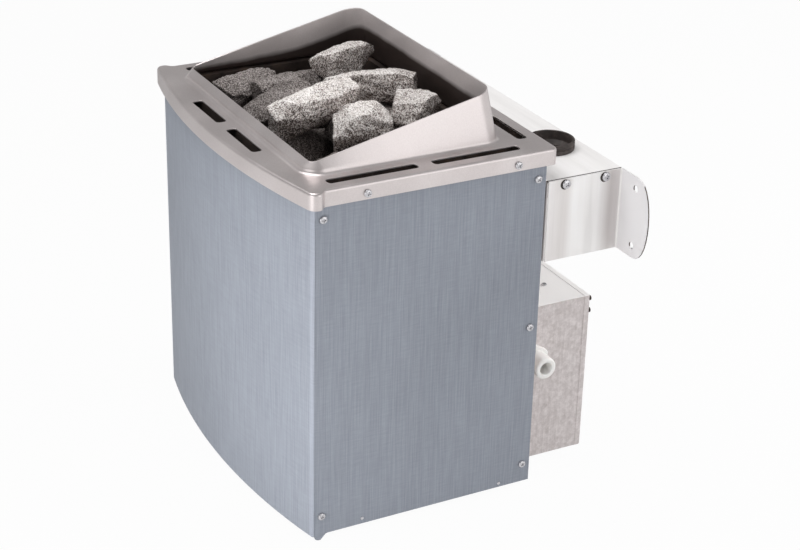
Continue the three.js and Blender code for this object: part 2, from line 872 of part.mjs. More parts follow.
// Sleeved wires from each row of elements through shield and rear panel to the terminal block
function wireLoom(side) {
  const x = side * elementPlace;
  const wall = boxFront + boxSheet;
  const blockEnd = side * (blockLength / 2 + wireSleeve / 2 + wireGap);
  const places = [
    [x, elementRows[elementsPerSide - 1], wireHeight],
    [x, shieldBack, wireHeight],
    [x, wall, wireHeight],
    [x, wall + wireStub, wireHeight],
    [x - side * wireBend, wall + wireDepth, wireHeight + wireBend],
    [blockEnd + side * wireBend, wall + wireDepth, blockBottom - wireBend],
    [blockEnd, wall + wireDepth, blockBottom],
    [blockEnd, wall + wireDepth, blockBottom + blockHeight / 2],
  ];
  const path = new THREE.CatmullRomCurve3(places.map((place) => new THREE.Vector3(...place)));
  return tubeAlong(path, wireSleeve, 14, 8);
}

for (const { name, side } of sides) addPiece(`wire_loom_${name}`, wireLoom(side), "glassSleeve");

// Cable gland in the right wall of the terminal box: body, dome nut and lock nut
function hexagon(acrossFlats) {
  const radius = acrossFlats / Math.sqrt(3);
  const corners = [];
  for (let i = 0; i < 6; i++) {
    const angle = (Math.PI / 3) * i;
    corners.push([radius * Math.cos(angle), radius * Math.sin(angle)]);
  }
  return polygon(corners);
}

function onGlandAxis(geometry, start) {
  return geometry.rotateY(Math.PI / 2).translate(start, glandPlace, glandHeight);
}

function glandBody() {
  const bore = glandBore / 2;
  const thread = glandThread / 2;
  const neck = glandNeck / 2;
  const inner = -glandInside - boxSheet - 2 * seatGap;
  const outer = glandHexLength + glandNeckLength;
  const core = turned(
    [
      [bore, inner],
      [thread, inner],
      [thread, glandHexLength / 2],
      [neck, glandHexLength / 2],
      [neck, outer],
      [bore, outer],
      [bore, inner],
    ],
    20,
  );
  const collar = extrudeUp(hexagon(glandHex), 0, glandHexLength);
  const hollow = turned(
    [
      [0, inner - cutOver],
      [bore, inner - cutOver],
      [bore, outer + cutOver],
      [0, outer + cutOver],
    ],
    20,
  );
  return onGlandAxis(cut(join(core, collar), hollow), glandSeat);
}

addPiece("gland_body", glandBody(), "whitePlastic");

function glandDomeNut() {
  const bore = glandBore / 2;
  const outer = glandNutDiameter / 2;
  const socket = glandNeck / 2 + holeGap;
  const start = glandHexLength + seatGap;
  const end = start + glandNutLength;
  const floor = glandHexLength + glandNeckLength + seatGap;
  const roundedIn = glandNutRounding * (1 - Math.SQRT1_2);
  return onGlandAxis(
    turned(
      [
        [socket, start],
        [outer, start],
        [outer, end - glandNutRounding],
        [outer - roundedIn, end - roundedIn],
        [outer - glandNutRounding, end],
        [bore, end],
        [bore, floor],
        [socket, floor],
        [socket, start],
      ],
      20,
    ),
    glandSeat,
  );
}

addPiece("gland_dome_nut", glandDomeNut(), "whitePlastic");

function glandLockNut() {
  const start = -2 * seatGap - boxSheet - lockNutLength;
  const end = start + lockNutLength;
  const ring = extrudeUp(hexagon(glandHex), start, end);
  const hole = holeUp(start - cutOver, end + cutOver, 0, 0, glandThread + 2 * holeGap, 16);
  return onGlandAxis(cut(ring, hole), glandSeat);
}

addPiece("gland_lock_nut", glandLockNut(), "whitePlastic");

// Wall bracket: top plate with lips, a wing on each side turned out into an ear for the wall screws
function bracketTopPlate() {
  const under = bracketTop - plateSheet;
  const sheet = boxBetween(-plateHalf, plateHalf, boxFront, wallPlane, under, bracketTop);
  const lips = sides.map(({ side }) => {
    const edges = [side * plateHalf, side * (plateHalf - plateSheet)].sort((a, b) => a - b);
    return boxBetween(...edges, wingStart, wallPlane, bracketTop - plateLip, bracketTop);
  });
  const front = boxBetween(
    -plateHalf,
    plateHalf,
    boxFront,
    boxFront + plateSheet,
    bracketTop - plateLip,
    bracketTop,
  );
  const grommetHole = holeUp(
    under - cutOver,
    bracketTop + cutOver,
    grommetX,
    grommetY,
    grommetNeck + 2 * holeGap,
    16,
  );
  return cut(join(sheet, front, ...lips), grommetHole, ...screwHolesAcross(wingScrews));
}

addPiece("bracket_top_plate", bracketTopPlate(), "bracketSteel");

function bracketWing(side) {
  const outerBend = wingBend - bracketSheet;
  const bendX = wingOutside + outerBend;
  const bendY = wallPlane - wingBend;
  const plan = new THREE.Shape();
  plan.moveTo(wingInside, wingStart);
  plan.lineTo(wingOutside, wingStart);
  plan.lineTo(wingOutside, bendY);
  plan.absarc(bendX, bendY, outerBend, Math.PI, Math.PI / 2, true);
  plan.lineTo(wingOutside + earReach, wallPlane - bracketSheet);
  plan.lineTo(wingOutside + earReach, wallPlane);
  plan.lineTo(bendX, wallPlane);
  plan.absarc(bendX, bendY, wingBend, Math.PI / 2, Math.PI, false);
  const bent = extrudeUp(plan, wingBottom, bracketTop, 5);
  const earEnd = wingOutside + earReach;
  const middle = (wingBottom + bracketTop) / 2;
  const soft = earEnd - earCorner / 3;
  const flat = earEnd - earCorner;
  const face = new THREE.Shape();
  face.moveTo(wingInside, wingBottom);
  face.lineTo(flat, wingBottom);
  face.bezierCurveTo(soft, wingBottom, earEnd, middle - earCorner, earEnd, middle);
  face.bezierCurveTo(earEnd, middle + earCorner, soft, bracketTop, flat, bracketTop);
  face.lineTo(wingInside, bracketTop);
  const outline = extrudeBack(face, wingStart - cutOver, wallPlane + cutOver, 7);
  const earHoleX = wingOutside + earHoleReach;
  const holes = [wingBottom + earHoleInset, bracketTop - earHoleInset].map((z) =>
    holeBack(wallPlane - wingBend, wallPlane + cutOver, earHoleX, z, earHole, 12),
  );
  const wing = cut(overlap(bent, outline), ...holes, ...screwHolesAcross(wingScrews));
  return side > 0 ? wing : mirrored(wing);
}

function mirrored(geometry) {
  const copy = geometry.clone().scale(-1, 1, 1);
  const index = copy.index.array;
  for (let i = 0; i < index.length; i += 3) [index[i], index[i + 1]] = [index[i + 1], index[i]];
  copy.computeVertexNormals();
  return copy;
}

for (const { name, side } of sides) addPiece(`bracket_wing_${name}`, bracketWing(side), "bracketSteel");

// Grommet: a thick sleeve that lines the round hole through the bracket's top plate
function bracketGrommet() {
  const bore = grommetBore / 2;
  const neck = grommetNeck / 2;
  const outer = grommetDiameter / 2;
  const seat = bracketTop + seatGap;
  const under = bracketTop - plateSheet - seatGap;
  const top = seat + grommetHeight;
  const groove = (seat + top) / 2;
  return turned(
    [
      [bore, under - grommetFoot],
      [neck, under - grommetFoot],
      [outer - grommetRounding, under],
      [neck, under],
      [neck, seat],
      [outer, seat],
      [outer, groove - grommetRounding / 2],
      [outer - grommetRounding / 2, groove],
      [outer, groove + grommetRounding / 2],
      [outer, top - grommetRounding],
      [outer - grommetRounding, top],
      [bore + grommetRounding, top],
      [bore, top - grommetRounding],
      [bore, under - grommetFoot],
    ],
    14,
  ).translate(grommetX, grommetY, 0);
}

addPiece("bracket_grommet", bracketGrommet(), "darkRubber");

// Screws: a low domed head on a short shank, pointing inwards from each side
function screwFromSide(side, seat, y, z) {
  const head = screwHead / 2;
  const shank = screwShank / 2;
  const top = seatGap + screwHeadHeight;
  const body = turned(
    [
      [0, -screwLength],
      [shank, -screwLength],
      [shank, seatGap],
      [head, seatGap],
      [head, top - screwHeadRounding],
      [head - screwHeadRounding, top],
      [0, top],
    ],
    8,
  );
  return body.rotateY((side * Math.PI) / 2).translate(side * seat, y, z);
}

function addScrews(group, places, seat) {
  for (const { name, side } of sides) {
    for (const [place, [y, z]] of Object.entries(places)) {
      addPiece(`${group}_screw_${name}_${place}`, screwFromSide(side, seat, y, z), "zincScrew");
    }
  }
}

addScrews("panel", sideScrews, halfWidth);
addScrews("rim", rimScrews, halfWidth + rimSideReach);
addScrews("wing", wingScrews, wingOutside);

// Stones: chipped blocks. Each is turned, held over its place and lowered until it rests.
function seededRandom(seed) {
  let state = seed * 7919 + 17;
  return () => {
    state = (state * 16807) % 2147483647;
    return state / 2147483647;
  };
}

const stoneSquareness = 8; // how boxy a block is before it is chipped
const stoneChips = 8;
const chipDepth = { least: 0.74, spread: 0.26 }; // of half the block, along a chip's direction
const stoneWave = { height: 0.03, x: 2.3, y: 2.9, z: 2.6 }; // slow swell of the block's faces

function stoneBlock(size, seed) {
  const random = seededRandom(seed);
  const chips = [];
  for (let i = 0; i < stoneChips; i++) {
    const direction = new THREE.Vector3(random() - 0.5, random() - 0.5, random() - 0.5).normalize();
    chips.push({ direction, depth: chipDepth.least + chipDepth.spread * random() });
  }
  const axes = ["x", "y", "z"];
  const phase = axes.map(() => 2 * Math.PI * random());
  const geometry = new THREE.BoxGeometry(2, 2, 2, 5, 4, 3);
  const places = geometry.attributes.position;
  const point = new THREE.Vector3();
  for (let i = 0; i < places.count; i++) {
    point.fromBufferAttribute(places, i);
    const power = axes.reduce((sum, axis) => sum + Math.abs(point[axis]) ** stoneSquareness, 0);
    point.multiplyScalar(power ** (-1 / stoneSquareness));
    const swell = axes.reduce((sum, axis, j) => sum + Math.sin(stoneWave[axis] * point[axis] + phase[j]), 0);
    point.multiplyScalar(1 + stoneWave.height * swell);
    for (const { direction, depth } of chips) {
      const reach = point.dot(direction);
      if (reach > depth) point.multiplyScalar(depth / reach);
    }
    places.setXYZ(i, point.x, point.y, point.z);
  }
  return geometry.scale(...size.map((share) => (share * stoneSize) / 2));
}

// Name, size [length, width, height] as shares of stoneSize, place [x, y] as shares of the half width
// and half depth inside the well, turn [about X, about Y, about Z] in degrees, seed of the chips
const stones = [
  ["stone_lower_1", [0.8, 0.84, 0.74], [-0.55, -0.55], [4, -6, 84], 1],
  ["stone_lower_2", [1, 0.86, 0.86], [-0.55, 0.39], [-5, 4, 96], 2],
  ["stone_lower_3", [0.92, 0.7, 0.76], [-0.03, -0.49], [6, 3, 84], 3],
  ["stone_lower_4", [0.96, 0.74, 0.96], [0, 0.44], [-4, 5, 75], 4],
  ["stone_lower_5", [0.96, 0.78, 0.84], [0.55, -0.45], [3, -5, 98], 5],
  ["stone_lower_6", [0.92, 0.8, 0.84], [0.55, 0.43], [5, 4, 82], 6],
  ["stone_lower_7", [1.08, 0.3, 0.27], [-0.6, -0.08], [0, 0, 100], 7],
  ["stone_upper_1", [0.84, 0.4, 0.32], [-0.775, -0.44], [0, 0, 109], 21],
  ["stone_upper_2", [0.74, 0.46, 0.32], [-0.67, 0.54], [0, -4, 101], 12],
  ["stone_upper_3", [1.04, 0.42, 0.32], [-0.145, 0.5], [4, -4, 54], 13],
  ["stone_upper_4", [0.92, 0.46, 0.36], [-0.3, -0.43], [16, 8, 100], 14],
  ["stone_upper_5", [1.1, 0.42, 0.4], [0.05, -0.29], [13, -7, 101], 15],
  ["stone_upper_6", [0.7, 0.5, 0.46], [0.385, 0.035], [0, 5, 64], 16],
  ["stone_upper_7", [0.46, 0.42, 0.34], [0.32, 0.63], [4, -5, 30], 17],
];
const stoneStep = 4; // first search steps down to a stone's seat
const stoneTouch = 0.02; // how closely the seat is found

// Height at which a stone comes to rest on the pieces below it
function restHeight(stone, obstacles) {
  const meets = (height) => {
    const raised = stone.translate([0, 0, height]);
    return obstacles.some((obstacle) => !raised.intersect(obstacle).isEmpty());
  };
  let clear = rimTop + collarBackHeight + stoneSize;
  while (clear > stoneStep && !meets(clear - stoneStep)) clear -= stoneStep;
  let blocked = clear - stoneStep;
  while (clear - blocked > stoneTouch) {
    const middle = (clear + blocked) / 2;
    if (meets(middle)) blocked = middle;
    else clear = middle;
  }
  return clear + seatGap;
}

const roomHalfWidth = wellHalf - wellSheet;
const roomHalfDepth = (wellBack - wellFront) / 2 - wellSheet;
const obstacles = [rimPiece, stoneWellPiece, gratePiece, ...elementPieces].map((piece) =>
  solidOf(piece.geometry),
);
for (const [name, size, [x, y], turn, seed] of stones) {
  const angles = turn.map((degrees) => THREE.MathUtils.degToRad(degrees));
  const stone = stoneBlock(size, seed)
    .applyMatrix4(new THREE.Matrix4().makeRotationFromEuler(new THREE.Euler(...angles)))
    .translate(x * roomHalfWidth, wellMiddle + y * roomHalfDepth, 0);
  stone.translate(0, 0, restHeight(solidOf(stone), obstacles));
  addPiece(name, stone, "stone");
  obstacles.push(solidOf(stone));
}

// The origin lies under the middle of the heater, level with its lowest point
heater.position.set(0, -(frontmostPoint + wallPlane) / 2, -lowestPoint);

const part = new THREE.Group();
part.add(heater);

export default part;
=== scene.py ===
import json
import math
import random

import bmesh
import bpy
import numpy
from mathutils import Matrix, Vector, noise

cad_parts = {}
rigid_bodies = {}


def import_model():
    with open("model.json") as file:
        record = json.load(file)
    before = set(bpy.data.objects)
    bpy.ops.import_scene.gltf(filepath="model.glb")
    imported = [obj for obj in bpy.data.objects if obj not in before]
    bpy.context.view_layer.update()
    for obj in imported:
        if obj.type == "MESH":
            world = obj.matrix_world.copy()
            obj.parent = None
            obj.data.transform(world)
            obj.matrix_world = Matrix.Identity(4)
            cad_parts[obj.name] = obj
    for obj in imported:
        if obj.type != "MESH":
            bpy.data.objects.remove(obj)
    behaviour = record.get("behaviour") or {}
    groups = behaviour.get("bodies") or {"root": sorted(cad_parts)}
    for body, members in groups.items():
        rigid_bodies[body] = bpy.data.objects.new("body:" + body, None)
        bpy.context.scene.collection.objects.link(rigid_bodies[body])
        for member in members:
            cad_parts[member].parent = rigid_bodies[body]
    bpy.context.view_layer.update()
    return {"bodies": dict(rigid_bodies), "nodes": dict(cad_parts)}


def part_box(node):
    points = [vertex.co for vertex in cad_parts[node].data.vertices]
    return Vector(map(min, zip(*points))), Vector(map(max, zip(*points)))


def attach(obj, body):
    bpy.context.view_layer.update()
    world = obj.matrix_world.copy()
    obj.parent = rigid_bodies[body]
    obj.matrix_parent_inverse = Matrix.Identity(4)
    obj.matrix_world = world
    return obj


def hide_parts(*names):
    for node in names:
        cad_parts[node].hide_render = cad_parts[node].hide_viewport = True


# Looks of a wall-hung sauna heater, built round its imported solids: metres, in the solids' own frame
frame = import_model()
nodes = frame["nodes"]
scene = bpy.context.scene
scene.view_settings.view_transform = "Standard"
mm = 0.001
fold = {"y": -168.1, "z": 5.5}  # the casing's front fold and lower edge in the frame, mm
sides = (("left", -1), ("right", 1))
meshing = {"weld": 0.002, "flatAngle": 0.4, "softAngle": 28, "sharpAngle": 38}  # mm and degrees
print("frame loaded:", len(nodes), "nodes")


# Points and outlines, in mm
def spot(x, y, z):  # a point measured from the casing's middle, front fold and lower edge
    return Vector((x * mm, (y + fold["y"]) * mm, (z + fold["z"]) * mm))


def quarterRound(steps):  # how far in and how far down along a quarter turn, as shares of its radius
    turns = [math.radians(90 * i / steps) for i in range(steps + 1)]
    return [(1 - math.cos(turn), 1 - math.sin(turn)) for turn in turns]


def bezier(corners, steps):  # points along a curve, without its first corner
    points = []
    for i in range(1, steps + 1):
        row = corners
        while len(row) > 1:
            row = [tuple(a + (b - a) * i / steps for a, b in zip(p, q)) for p, q in zip(row, row[1:])]
        points.append(row[0])
    return points


def roundBox(x0, x1, y0, y1, radii, arcSteps, sideSteps):  # radii of the front and back corners
    corners = ((x1, y0, -90), (x1, y1, 0), (x0, y1, 90), (x0, y0, 180))
    points = []
    for x, y, start in corners:
        radius = radii[0] if y == y0 else radii[1]
        cx = x - radius if x == x1 else x + radius
        cy = y - radius if y == y1 else y + radius
        for i in range(arcSteps + 1):
            angle = math.radians(start + 90 * i / arcSteps)
            points.append((cx + radius * math.cos(angle), cy + radius * math.sin(angle)))
    full = []
    for i, point in enumerate(points):
        full.append(point)
        if i % (arcSteps + 1) == arcSteps:  # fill the straight side up to the next corner
            after = points[(i + 1) % len(points)]
            for k in range(1, sideSteps):
                full.append(tuple(a + (b - a) * k / sideSteps for a, b in zip(point, after)))
    return full


# Meshes
def meshFrom(bm, name):
    mesh = bpy.data.meshes.new(name)
    bm.to_mesh(mesh)
    bm.free()
    return mesh


def solidMesh(nodeName):  # a node's solid, with its doubled corners welded
    bm = bmesh.new()
    bm.from_mesh(nodes[nodeName].data)
    bmesh.ops.remove_doubles(bm, verts=bm.verts[:], dist=meshing["weld"] * mm)
    return bm


def skinLoops(bm, loops, closed=False):
    rows = [[bm.verts.new(point) for point in loop] for loop in loops]
    count = len(rows[0])
    pairs = list(zip(rows, rows[1:])) + ([(rows[-1], rows[0])] if closed else [])
    for low, high in pairs:
        for i in range(count):
            j = (i + 1) % count
            bm.faces.new((low[i], low[j], high[j], high[i]))
    return rows


def skinSolid(bm, loops):  # loops skinned and capped at both ends
    rows = skinLoops(bm, loops)
    bm.faces.new(rows[0][::-1])
    bm.faces.new(rows[-1])
    bmesh.ops.recalc_face_normals(bm, faces=bm.faces[:])


def turned(bm, profile, origin, axis, steps, closed=True):  # profile of (radius, along), mm
    turnTo = Vector((0, 0, 1)).rotation_difference(Vector(axis)).to_matrix()
    angles = [2 * math.pi * i / steps for i in range(steps)]
    loops = []
    for radius, along in profile:
        ring = [Vector((radius * math.cos(a), radius * math.sin(a), along)) * mm for a in angles]
        loops.append([origin + turnTo @ point for point in ring])
    if closed:
        skinLoops(bm, loops, True)
        bmesh.ops.recalc_face_normals(bm, faces=bm.faces[:])
    else:
        skinSolid(bm, loops)


def prism(bm, outline, low, high, toPoint):  # outline of (a, b) pushed from low to high
    skinSolid(bm, [[toPoint(a, b, level) for a, b in outline] for level in (low, high)])


def softenEdges(bm, width, angle):
    edges = [e for e in bm.edges if e.is_manifold and e.calc_face_angle(0) > math.radians(angle)]
    bmesh.ops.bevel(
        bm, geom=edges, offset=width * mm, offset_type="OFFSET", segments=2,
        profile=0.5, affect="EDGES", clamp_overlap=False,
    )


# Pieces
def placeBlank(name, mesh):
    blank = bpy.data.objects.new(name, mesh)
    scene.collection.objects.link(blank)
    return blank


def shapedMesh(blank):  # the mesh that a blank's modifiers give
    graph = bpy.context.evaluated_depsgraph_get()
    mesh = bpy.data.meshes.new_from_object(blank.evaluated_get(graph))
    bpy.data.objects.remove(blank)
    return mesh


def finishMesh(mesh, material, sharpAngle):
    mesh.materials.clear()
    mesh.materials.append(material)
    mesh.shade_smooth()
    mesh.set_sharp_from_angle(angle=math.radians(sharpAngle))


def declare(piece, body, replaced):  # links a piece in, sets what it rides on and hides the solids it stands for
    scene.collection.objects.link(piece)
    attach(piece, body)
    if replaced:
        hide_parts(*replaced)


def finishPiece(name, bm, material, replaced=(), crisp=True):
    mesh = meshFrom(bm, name)
    finishMesh(mesh, material, meshing["sharpAngle"])
    piece = bpy.data.objects.new(name, mesh)
    if crisp:
        piece.modifiers.new("crispNormals", "WEIGHTED_NORMAL").keep_sharp = True
    declare(piece, "heater", replaced)
    return piece


def placeShared(name, mesh, at, axis, spin, replaced=(), widen=1.0):
    piece = bpy.data.objects.new(name, mesh)
    turn = Vector((0, 0, 1)).rotation_difference(Vector(axis)).to_matrix() @ Matrix.Rotation(spin, 3, "Z")
    size = Matrix.Diagonal((widen, widen, 1, 1))
    piece.matrix_world = Matrix.Translation(at) @ turn.to_4x4() @ size
    declare(piece, "heater", replaced)


def dress(nodeName, material, width, reshape=None):  # the solid itself with softened edges
    bm = solidMesh(nodeName)
    if reshape:
        reshape(bm)
    bmesh.ops.dissolve_limit(
        bm, angle_limit=math.radians(meshing["flatAngle"]), use_dissolve_boundaries=False,
        verts=bm.verts[:], edges=bm.edges[:],
    )
    softenEdges(bm, width, meshing["softAngle"])
    return finishPiece(nodeName + "_dressed", bm, material, (nodeName,))


def coat(nodeName, material):  # a solid that stays as it is and gets its finish
    nodes[nodeName].data.materials.clear()
    nodes[nodeName].data.materials.append(material)


# Camera, at the photograph's angle
view = {
    "azimuth": 61.50, "elevation": 25.57, "roll": 1.47, "distance": 2.0720,  # degrees and metres
    "target": (0.1046, -0.0181, 0.2429), "lens": 85.35, "sensor": 36, "shift": (0.00025, 0.0034),
    "reach": 100,
}


def makeCamera():
    az, el, roll = (math.radians(view[key]) for key in ("azimuth", "elevation", "roll"))
    back = Vector((math.sin(az) * math.cos(el), -math.cos(az) * math.cos(el), math.sin(el)))
    right = Vector((math.cos(az), math.sin(az), 0))
    up = back.cross(right)
    across = right * math.cos(roll) + up * math.sin(roll)
    upright = up * math.cos(roll) - right * math.sin(roll)
    data = bpy.data.cameras.new("camera")
    data.lens = view["lens"]
    data.sensor_width = view["sensor"]
    data.shift_x, data.shift_y = view["shift"]
    data.clip_end = view["reach"]
    camera = bpy.data.objects.new("camera", data)
    turn = Matrix((across, upright, back)).transposed().to_4x4()
    camera.matrix_world = Matrix.Translation(Vector(view["target"]) + back * view["distance"]) @ turn
    scene.collection.objects.link(camera)
    scene.camera = camera


makeCamera()
print("camera set")


# Materials: sizes in their dictionaries are in mm, and 1000 / size is how many fit in a metre
def linear(hexText):  # an sRGB colour as the renderer's linear one
    channels = [int(hexText[i:i + 2], 16) / 255 for i in (1, 3, 5)]
    return [c / 12.92 if c <= 0.04045 else ((c + 0.055) / 1.055) ** 2.4 for c in channels] + [1.0]


def setInputs(tree, node, inputs):  # a node given as a value stands for its first output
    for name, value in inputs.items():
        if isinstance(value, bpy.types.Node):
            value = value.outputs[0]
        if isinstance(value, bpy.types.NodeSocket):
            tree.links.new(value, node.inputs[name])
        else:
            node.inputs[name].default_value = value


def addNode(tree, kind, inputs=None, **settings):
    node = tree.nodes.new("ShaderNode" + kind)
    for i, (position, colour) in enumerate(settings.pop("stops", ())):
        ramp = node.color_ramp.elements
        stop = ramp[i] if i < 2 else ramp.new(position)
        stop.position = position
        stop.color = linear(colour)
    for name, value in settings.items():
        setattr(node, name, value)
    setInputs(tree, node, inputs or {})
    return node


def startMaterial(name, inputs):
    material = bpy.data.materials.new(name)
    material.use_nodes = True
    tree = material.node_tree
    shader = tree.nodes["Principled BSDF"]
    setInputs(tree, shader, inputs)
    coords = addNode(tree, "TexCoord").outputs["Object"]
    return material, tree, shader, coords


def facingOf(tree):  # which way a surface faces, as X, Y and Z
    normal = addNode(tree, "NewGeometry").outputs["Normal"]
    return addNode(tree, "SeparateXYZ", {"Vector": normal}).outputs


def crystalTones(tree, coords, size):  # chance tones of crystals of this size, mm
    crystals = addNode(tree, "TexVoronoi", {"Vector": coords, "Scale": 1000 / size})
    return addNode(tree, "SeparateColor", {"Color": crystals.outputs["Color"]}).outputs


def strokesAlong(tree, coords, sizes, inputs):  # noise drawn out to these sizes along x, y and z, mm
    stretched = addNode(tree, "Mapping", {"Vector": coords, "Scale": [1000 / size for size in sizes]})
    return addNode(tree, "TexNoise", {"Vector": stretched, "Scale": 1.0, **inputs})


noiseSpan = {"From Min": 0.3, "From Max": 0.7}  # where most of a noise's values lie
casingFinish = {
    # the fold tones are lighter than the sheet's: a painted highlight on the casing's folds
    "sheet": ("#8F949E", "#979CA6", "#9EA3AD"), "fold": ("#9BA0AB", "#A3A8B3", "#ABB0BB"),
    "places": (0.3, 0.5, 0.7),  # of the tones on the ramp
    "strokes": (1.5, 1.5, 55), "crossStrokes": (18, 18, 1.5), "cloud": 130,
    "crossShade": 0.04, "cloudShade": 0.03, "metallic": 0.1, "roughness": 0.6, "glossShift": 0.06,
    "specular": 0.25, "relief": {"Strength": 0.08, "Distance": 0.1 * mm},
}


def makeBrushedSheet(name, tones):
    # stainless sheet, brushed upright with a belt, cross-brushed lightly and lacquered:
    # fine strokes, soft gloss
    finish = casingFinish
    material, tree, shader, coords = startMaterial(name, {
        "Metallic": finish["metallic"], "Specular IOR Level": finish["specular"],
    })
    # real strokes are about 0.1 mm wide, drawn 1.5 mm wide so that they show
    strokes = strokesAlong(tree, coords, finish["strokes"], {"Detail": 3.0, "Roughness": 0.6})
    crossStrokes = strokesAlong(tree, coords, finish["crossStrokes"], {"Detail": 2.0})
    clouds = addNode(tree, "TexNoise", {"Vector": coords, "Scale": 1000 / finish["cloud"], "Detail": 2.0})
    colour = addNode(tree, "ValToRGB", {"Fac": strokes}, stops=list(zip(finish["places"], tones)))
    for pattern, shade in ((crossStrokes, finish["crossShade"]), (clouds, finish["cloudShade"])):
        shading = addNode(tree, "MapRange", {
            "Value": pattern, **noiseSpan, "To Min": 1 - shade, "To Max": 1 + shade,
        })
        colour = addNode(tree, "MixRGB", {
            "Fac": 1.0, "Color1": colour, "Color2": shading,
        }, blend_type="MULTIPLY")
    gloss = addNode(tree, "MapRange", {
        "Value": strokes, **noiseSpan,
        "To Min": finish["roughness"] + finish["glossShift"],
        "To Max": finish["roughness"] - finish["glossShift"],
    })
    relief = addNode(tree, "Bump", {**finish["relief"], "Height": strokes})
    setInputs(tree, shader, {"Base Color": colour, "Roughness": gloss, "Normal": relief})
    return material


rimFinish = {
    "tones": [(0.5, "#CCC4C3"), (0.7, "#D5CDCC"), (0.9, "#DED7D6")], "shadeAndBurnt": "#463C39",
    "grit": 1.3, "gritShare": 0.4, "cloud": 60, "cloudShare": 0.6, "base": 0.2,
    "metallic": 0.82, "heatedMetallic": 0.2, "roughness": 0.36, "smoother": 0.04, "rougher": 0.05,
    "relief": {"Strength": 0.06, "Distance": 0.15 * mm},
    # the dark band inside the collar is painted shade together with heat tint, and its light right corner a
    # painted highlight
    "shadeBurnFoot": 413, "shadeBurnRise": 27, "shadeBurnFrom": 20, "shadeBurnTo": 227, "shadeBurnCurve": 3.0,
    "litCornerDrop": 20, "litCornerSide": (122, 150), "shadeBurnRagged": 8, "shadeBurnEdge": 4, "shadeBurnSoft": 7,
}


def addShadeAndBurn(tree, coords, clouds, colour):  # the collar's inside darkened from below towards the stones: painted shade together with heat tint
    finish = rimFinish
    place = addNode(tree, "SeparateXYZ", {"Vector": coords})
    along = addNode(tree, "MapRange", {
        "Value": place.outputs["Y"],
        "From Min": (finish["shadeBurnFrom"] + fold["y"]) * mm, "From Max": (finish["shadeBurnTo"] + fold["y"]) * mm,
    })
    curved = addNode(tree, "Math", {0: along, 1: finish["shadeBurnCurve"]}, operation="POWER")
    rising = addNode(tree, "Math", {
        0: curved, 1: finish["shadeBurnRise"] * mm, 2: finish["shadeBurnFoot"] * mm,
    }, operation="MULTIPLY_ADD")
    drop = addNode(tree, "MapRange", {
        "Value": place.outputs["X"],
        "From Min": finish["litCornerSide"][0] * mm, "From Max": finish["litCornerSide"][1] * mm,
        "To Min": 0.0, "To Max": -finish["litCornerDrop"] * mm,
    })  # the right back corner is kept light: a painted highlight
    reach = addNode(tree, "Math", {0: rising, 1: drop}, operation="ADD")
    above = addNode(tree, "Math", {0: place.outputs["Z"], 1: reach}, operation="SUBTRACT")
    ragged = addNode(tree, "Math", {
        0: clouds, 1: finish["shadeBurnRagged"] * mm, 2: above,
    }, operation="MULTIPLY_ADD")
    clean = addNode(tree, "MapRange", {
        "Value": ragged, "From Min": finish["shadeBurnEdge"] * mm,
        "From Max": (finish["shadeBurnEdge"] + finish["shadeBurnSoft"]) * mm,
    })
    return addNode(tree, "MixRGB", {"Fac": clean, "Color1": linear(finish["shadeAndBurnt"]), "Color2": colour})


def makeBlastedRim(name, heated):
    # stainless pressing, bead-blasted: an even satin skin with fine grit and no strokes
    finish = rimFinish
    metallic = finish["heatedMetallic"] if heated else finish["metallic"]  # oxide dulls the heated side
    material, tree, shader, coords = startMaterial(name, {"Metallic": metallic})
    grit = addNode(tree, "TexNoise", {
        "Vector": coords, "Scale": 1000 / finish["grit"], "Detail": 2.0,
    })  # real grit is about 0.2 mm, drawn coarser so that it shows
    clouds = addNode(tree, "TexNoise", {"Vector": coords, "Scale": 1000 / finish["cloud"], "Detail": 3.0})
    clouded = addNode(tree, "Math", {
        0: clouds, 1: finish["cloudShare"], 2: finish["base"],
    }, operation="MULTIPLY_ADD")
    total = addNode(tree, "Math", {0: grit, 1: finish["gritShare"], 2: clouded}, operation="MULTIPLY_ADD")
    colour = addNode(tree, "ValToRGB", {"Fac": total}, stops=finish["tones"])
    gloss = addNode(tree, "MapRange", {
        "Value": clouds, **noiseSpan,
        "To Min": finish["roughness"] - finish["smoother"], "To Max": finish["roughness"] + finish["rougher"],
    })
    relief = addNode(tree, "Bump", {**finish["relief"], "Height": grit})
    if heated:
        colour = addShadeAndBurn(tree, coords, clouds, colour)
    setInputs(tree, shader, {"Base Color": colour, "Roughness": gloss, "Normal": relief})
    return material


bracketFinish = {
    # the wing tones are lighter than the plate's as painted light, and the ear tones darker as painted shade
    "plate": ("#E4E2E1", "#ECEAE9", "#F2F0F0"), "wing": ("#ECEAE9", "#F5F3F2", "#FBFAFA"),
    "ear": ("#DBD8D9", "#E4E2E3", "#ECEAEB"), "places": (0.4, 0.55, 0.72),  # of the tones on the ramp
    # painted reflection: light and dull bands across the wings, set by y
    "reflectionBands": [
        (0.0, "#F4F2F2"), (0.24, "#EBE8E7"), (0.34, "#FFFFFF"),
        (0.68, "#FFFFFF"), (0.85, "#DBD7D6"), (1.0, "#F2F0F0"),
    ],
    "reflectionFrom": 273.6, "reflectionTo": 366.7, "bands": (260, 24, 260), "strokes": (80, 1.4, 80),
    "strokeShare": 0.12, "dull": 0.05, "polished": 0.55, "roughness": 0.4, "glossShift": 0.08,
}


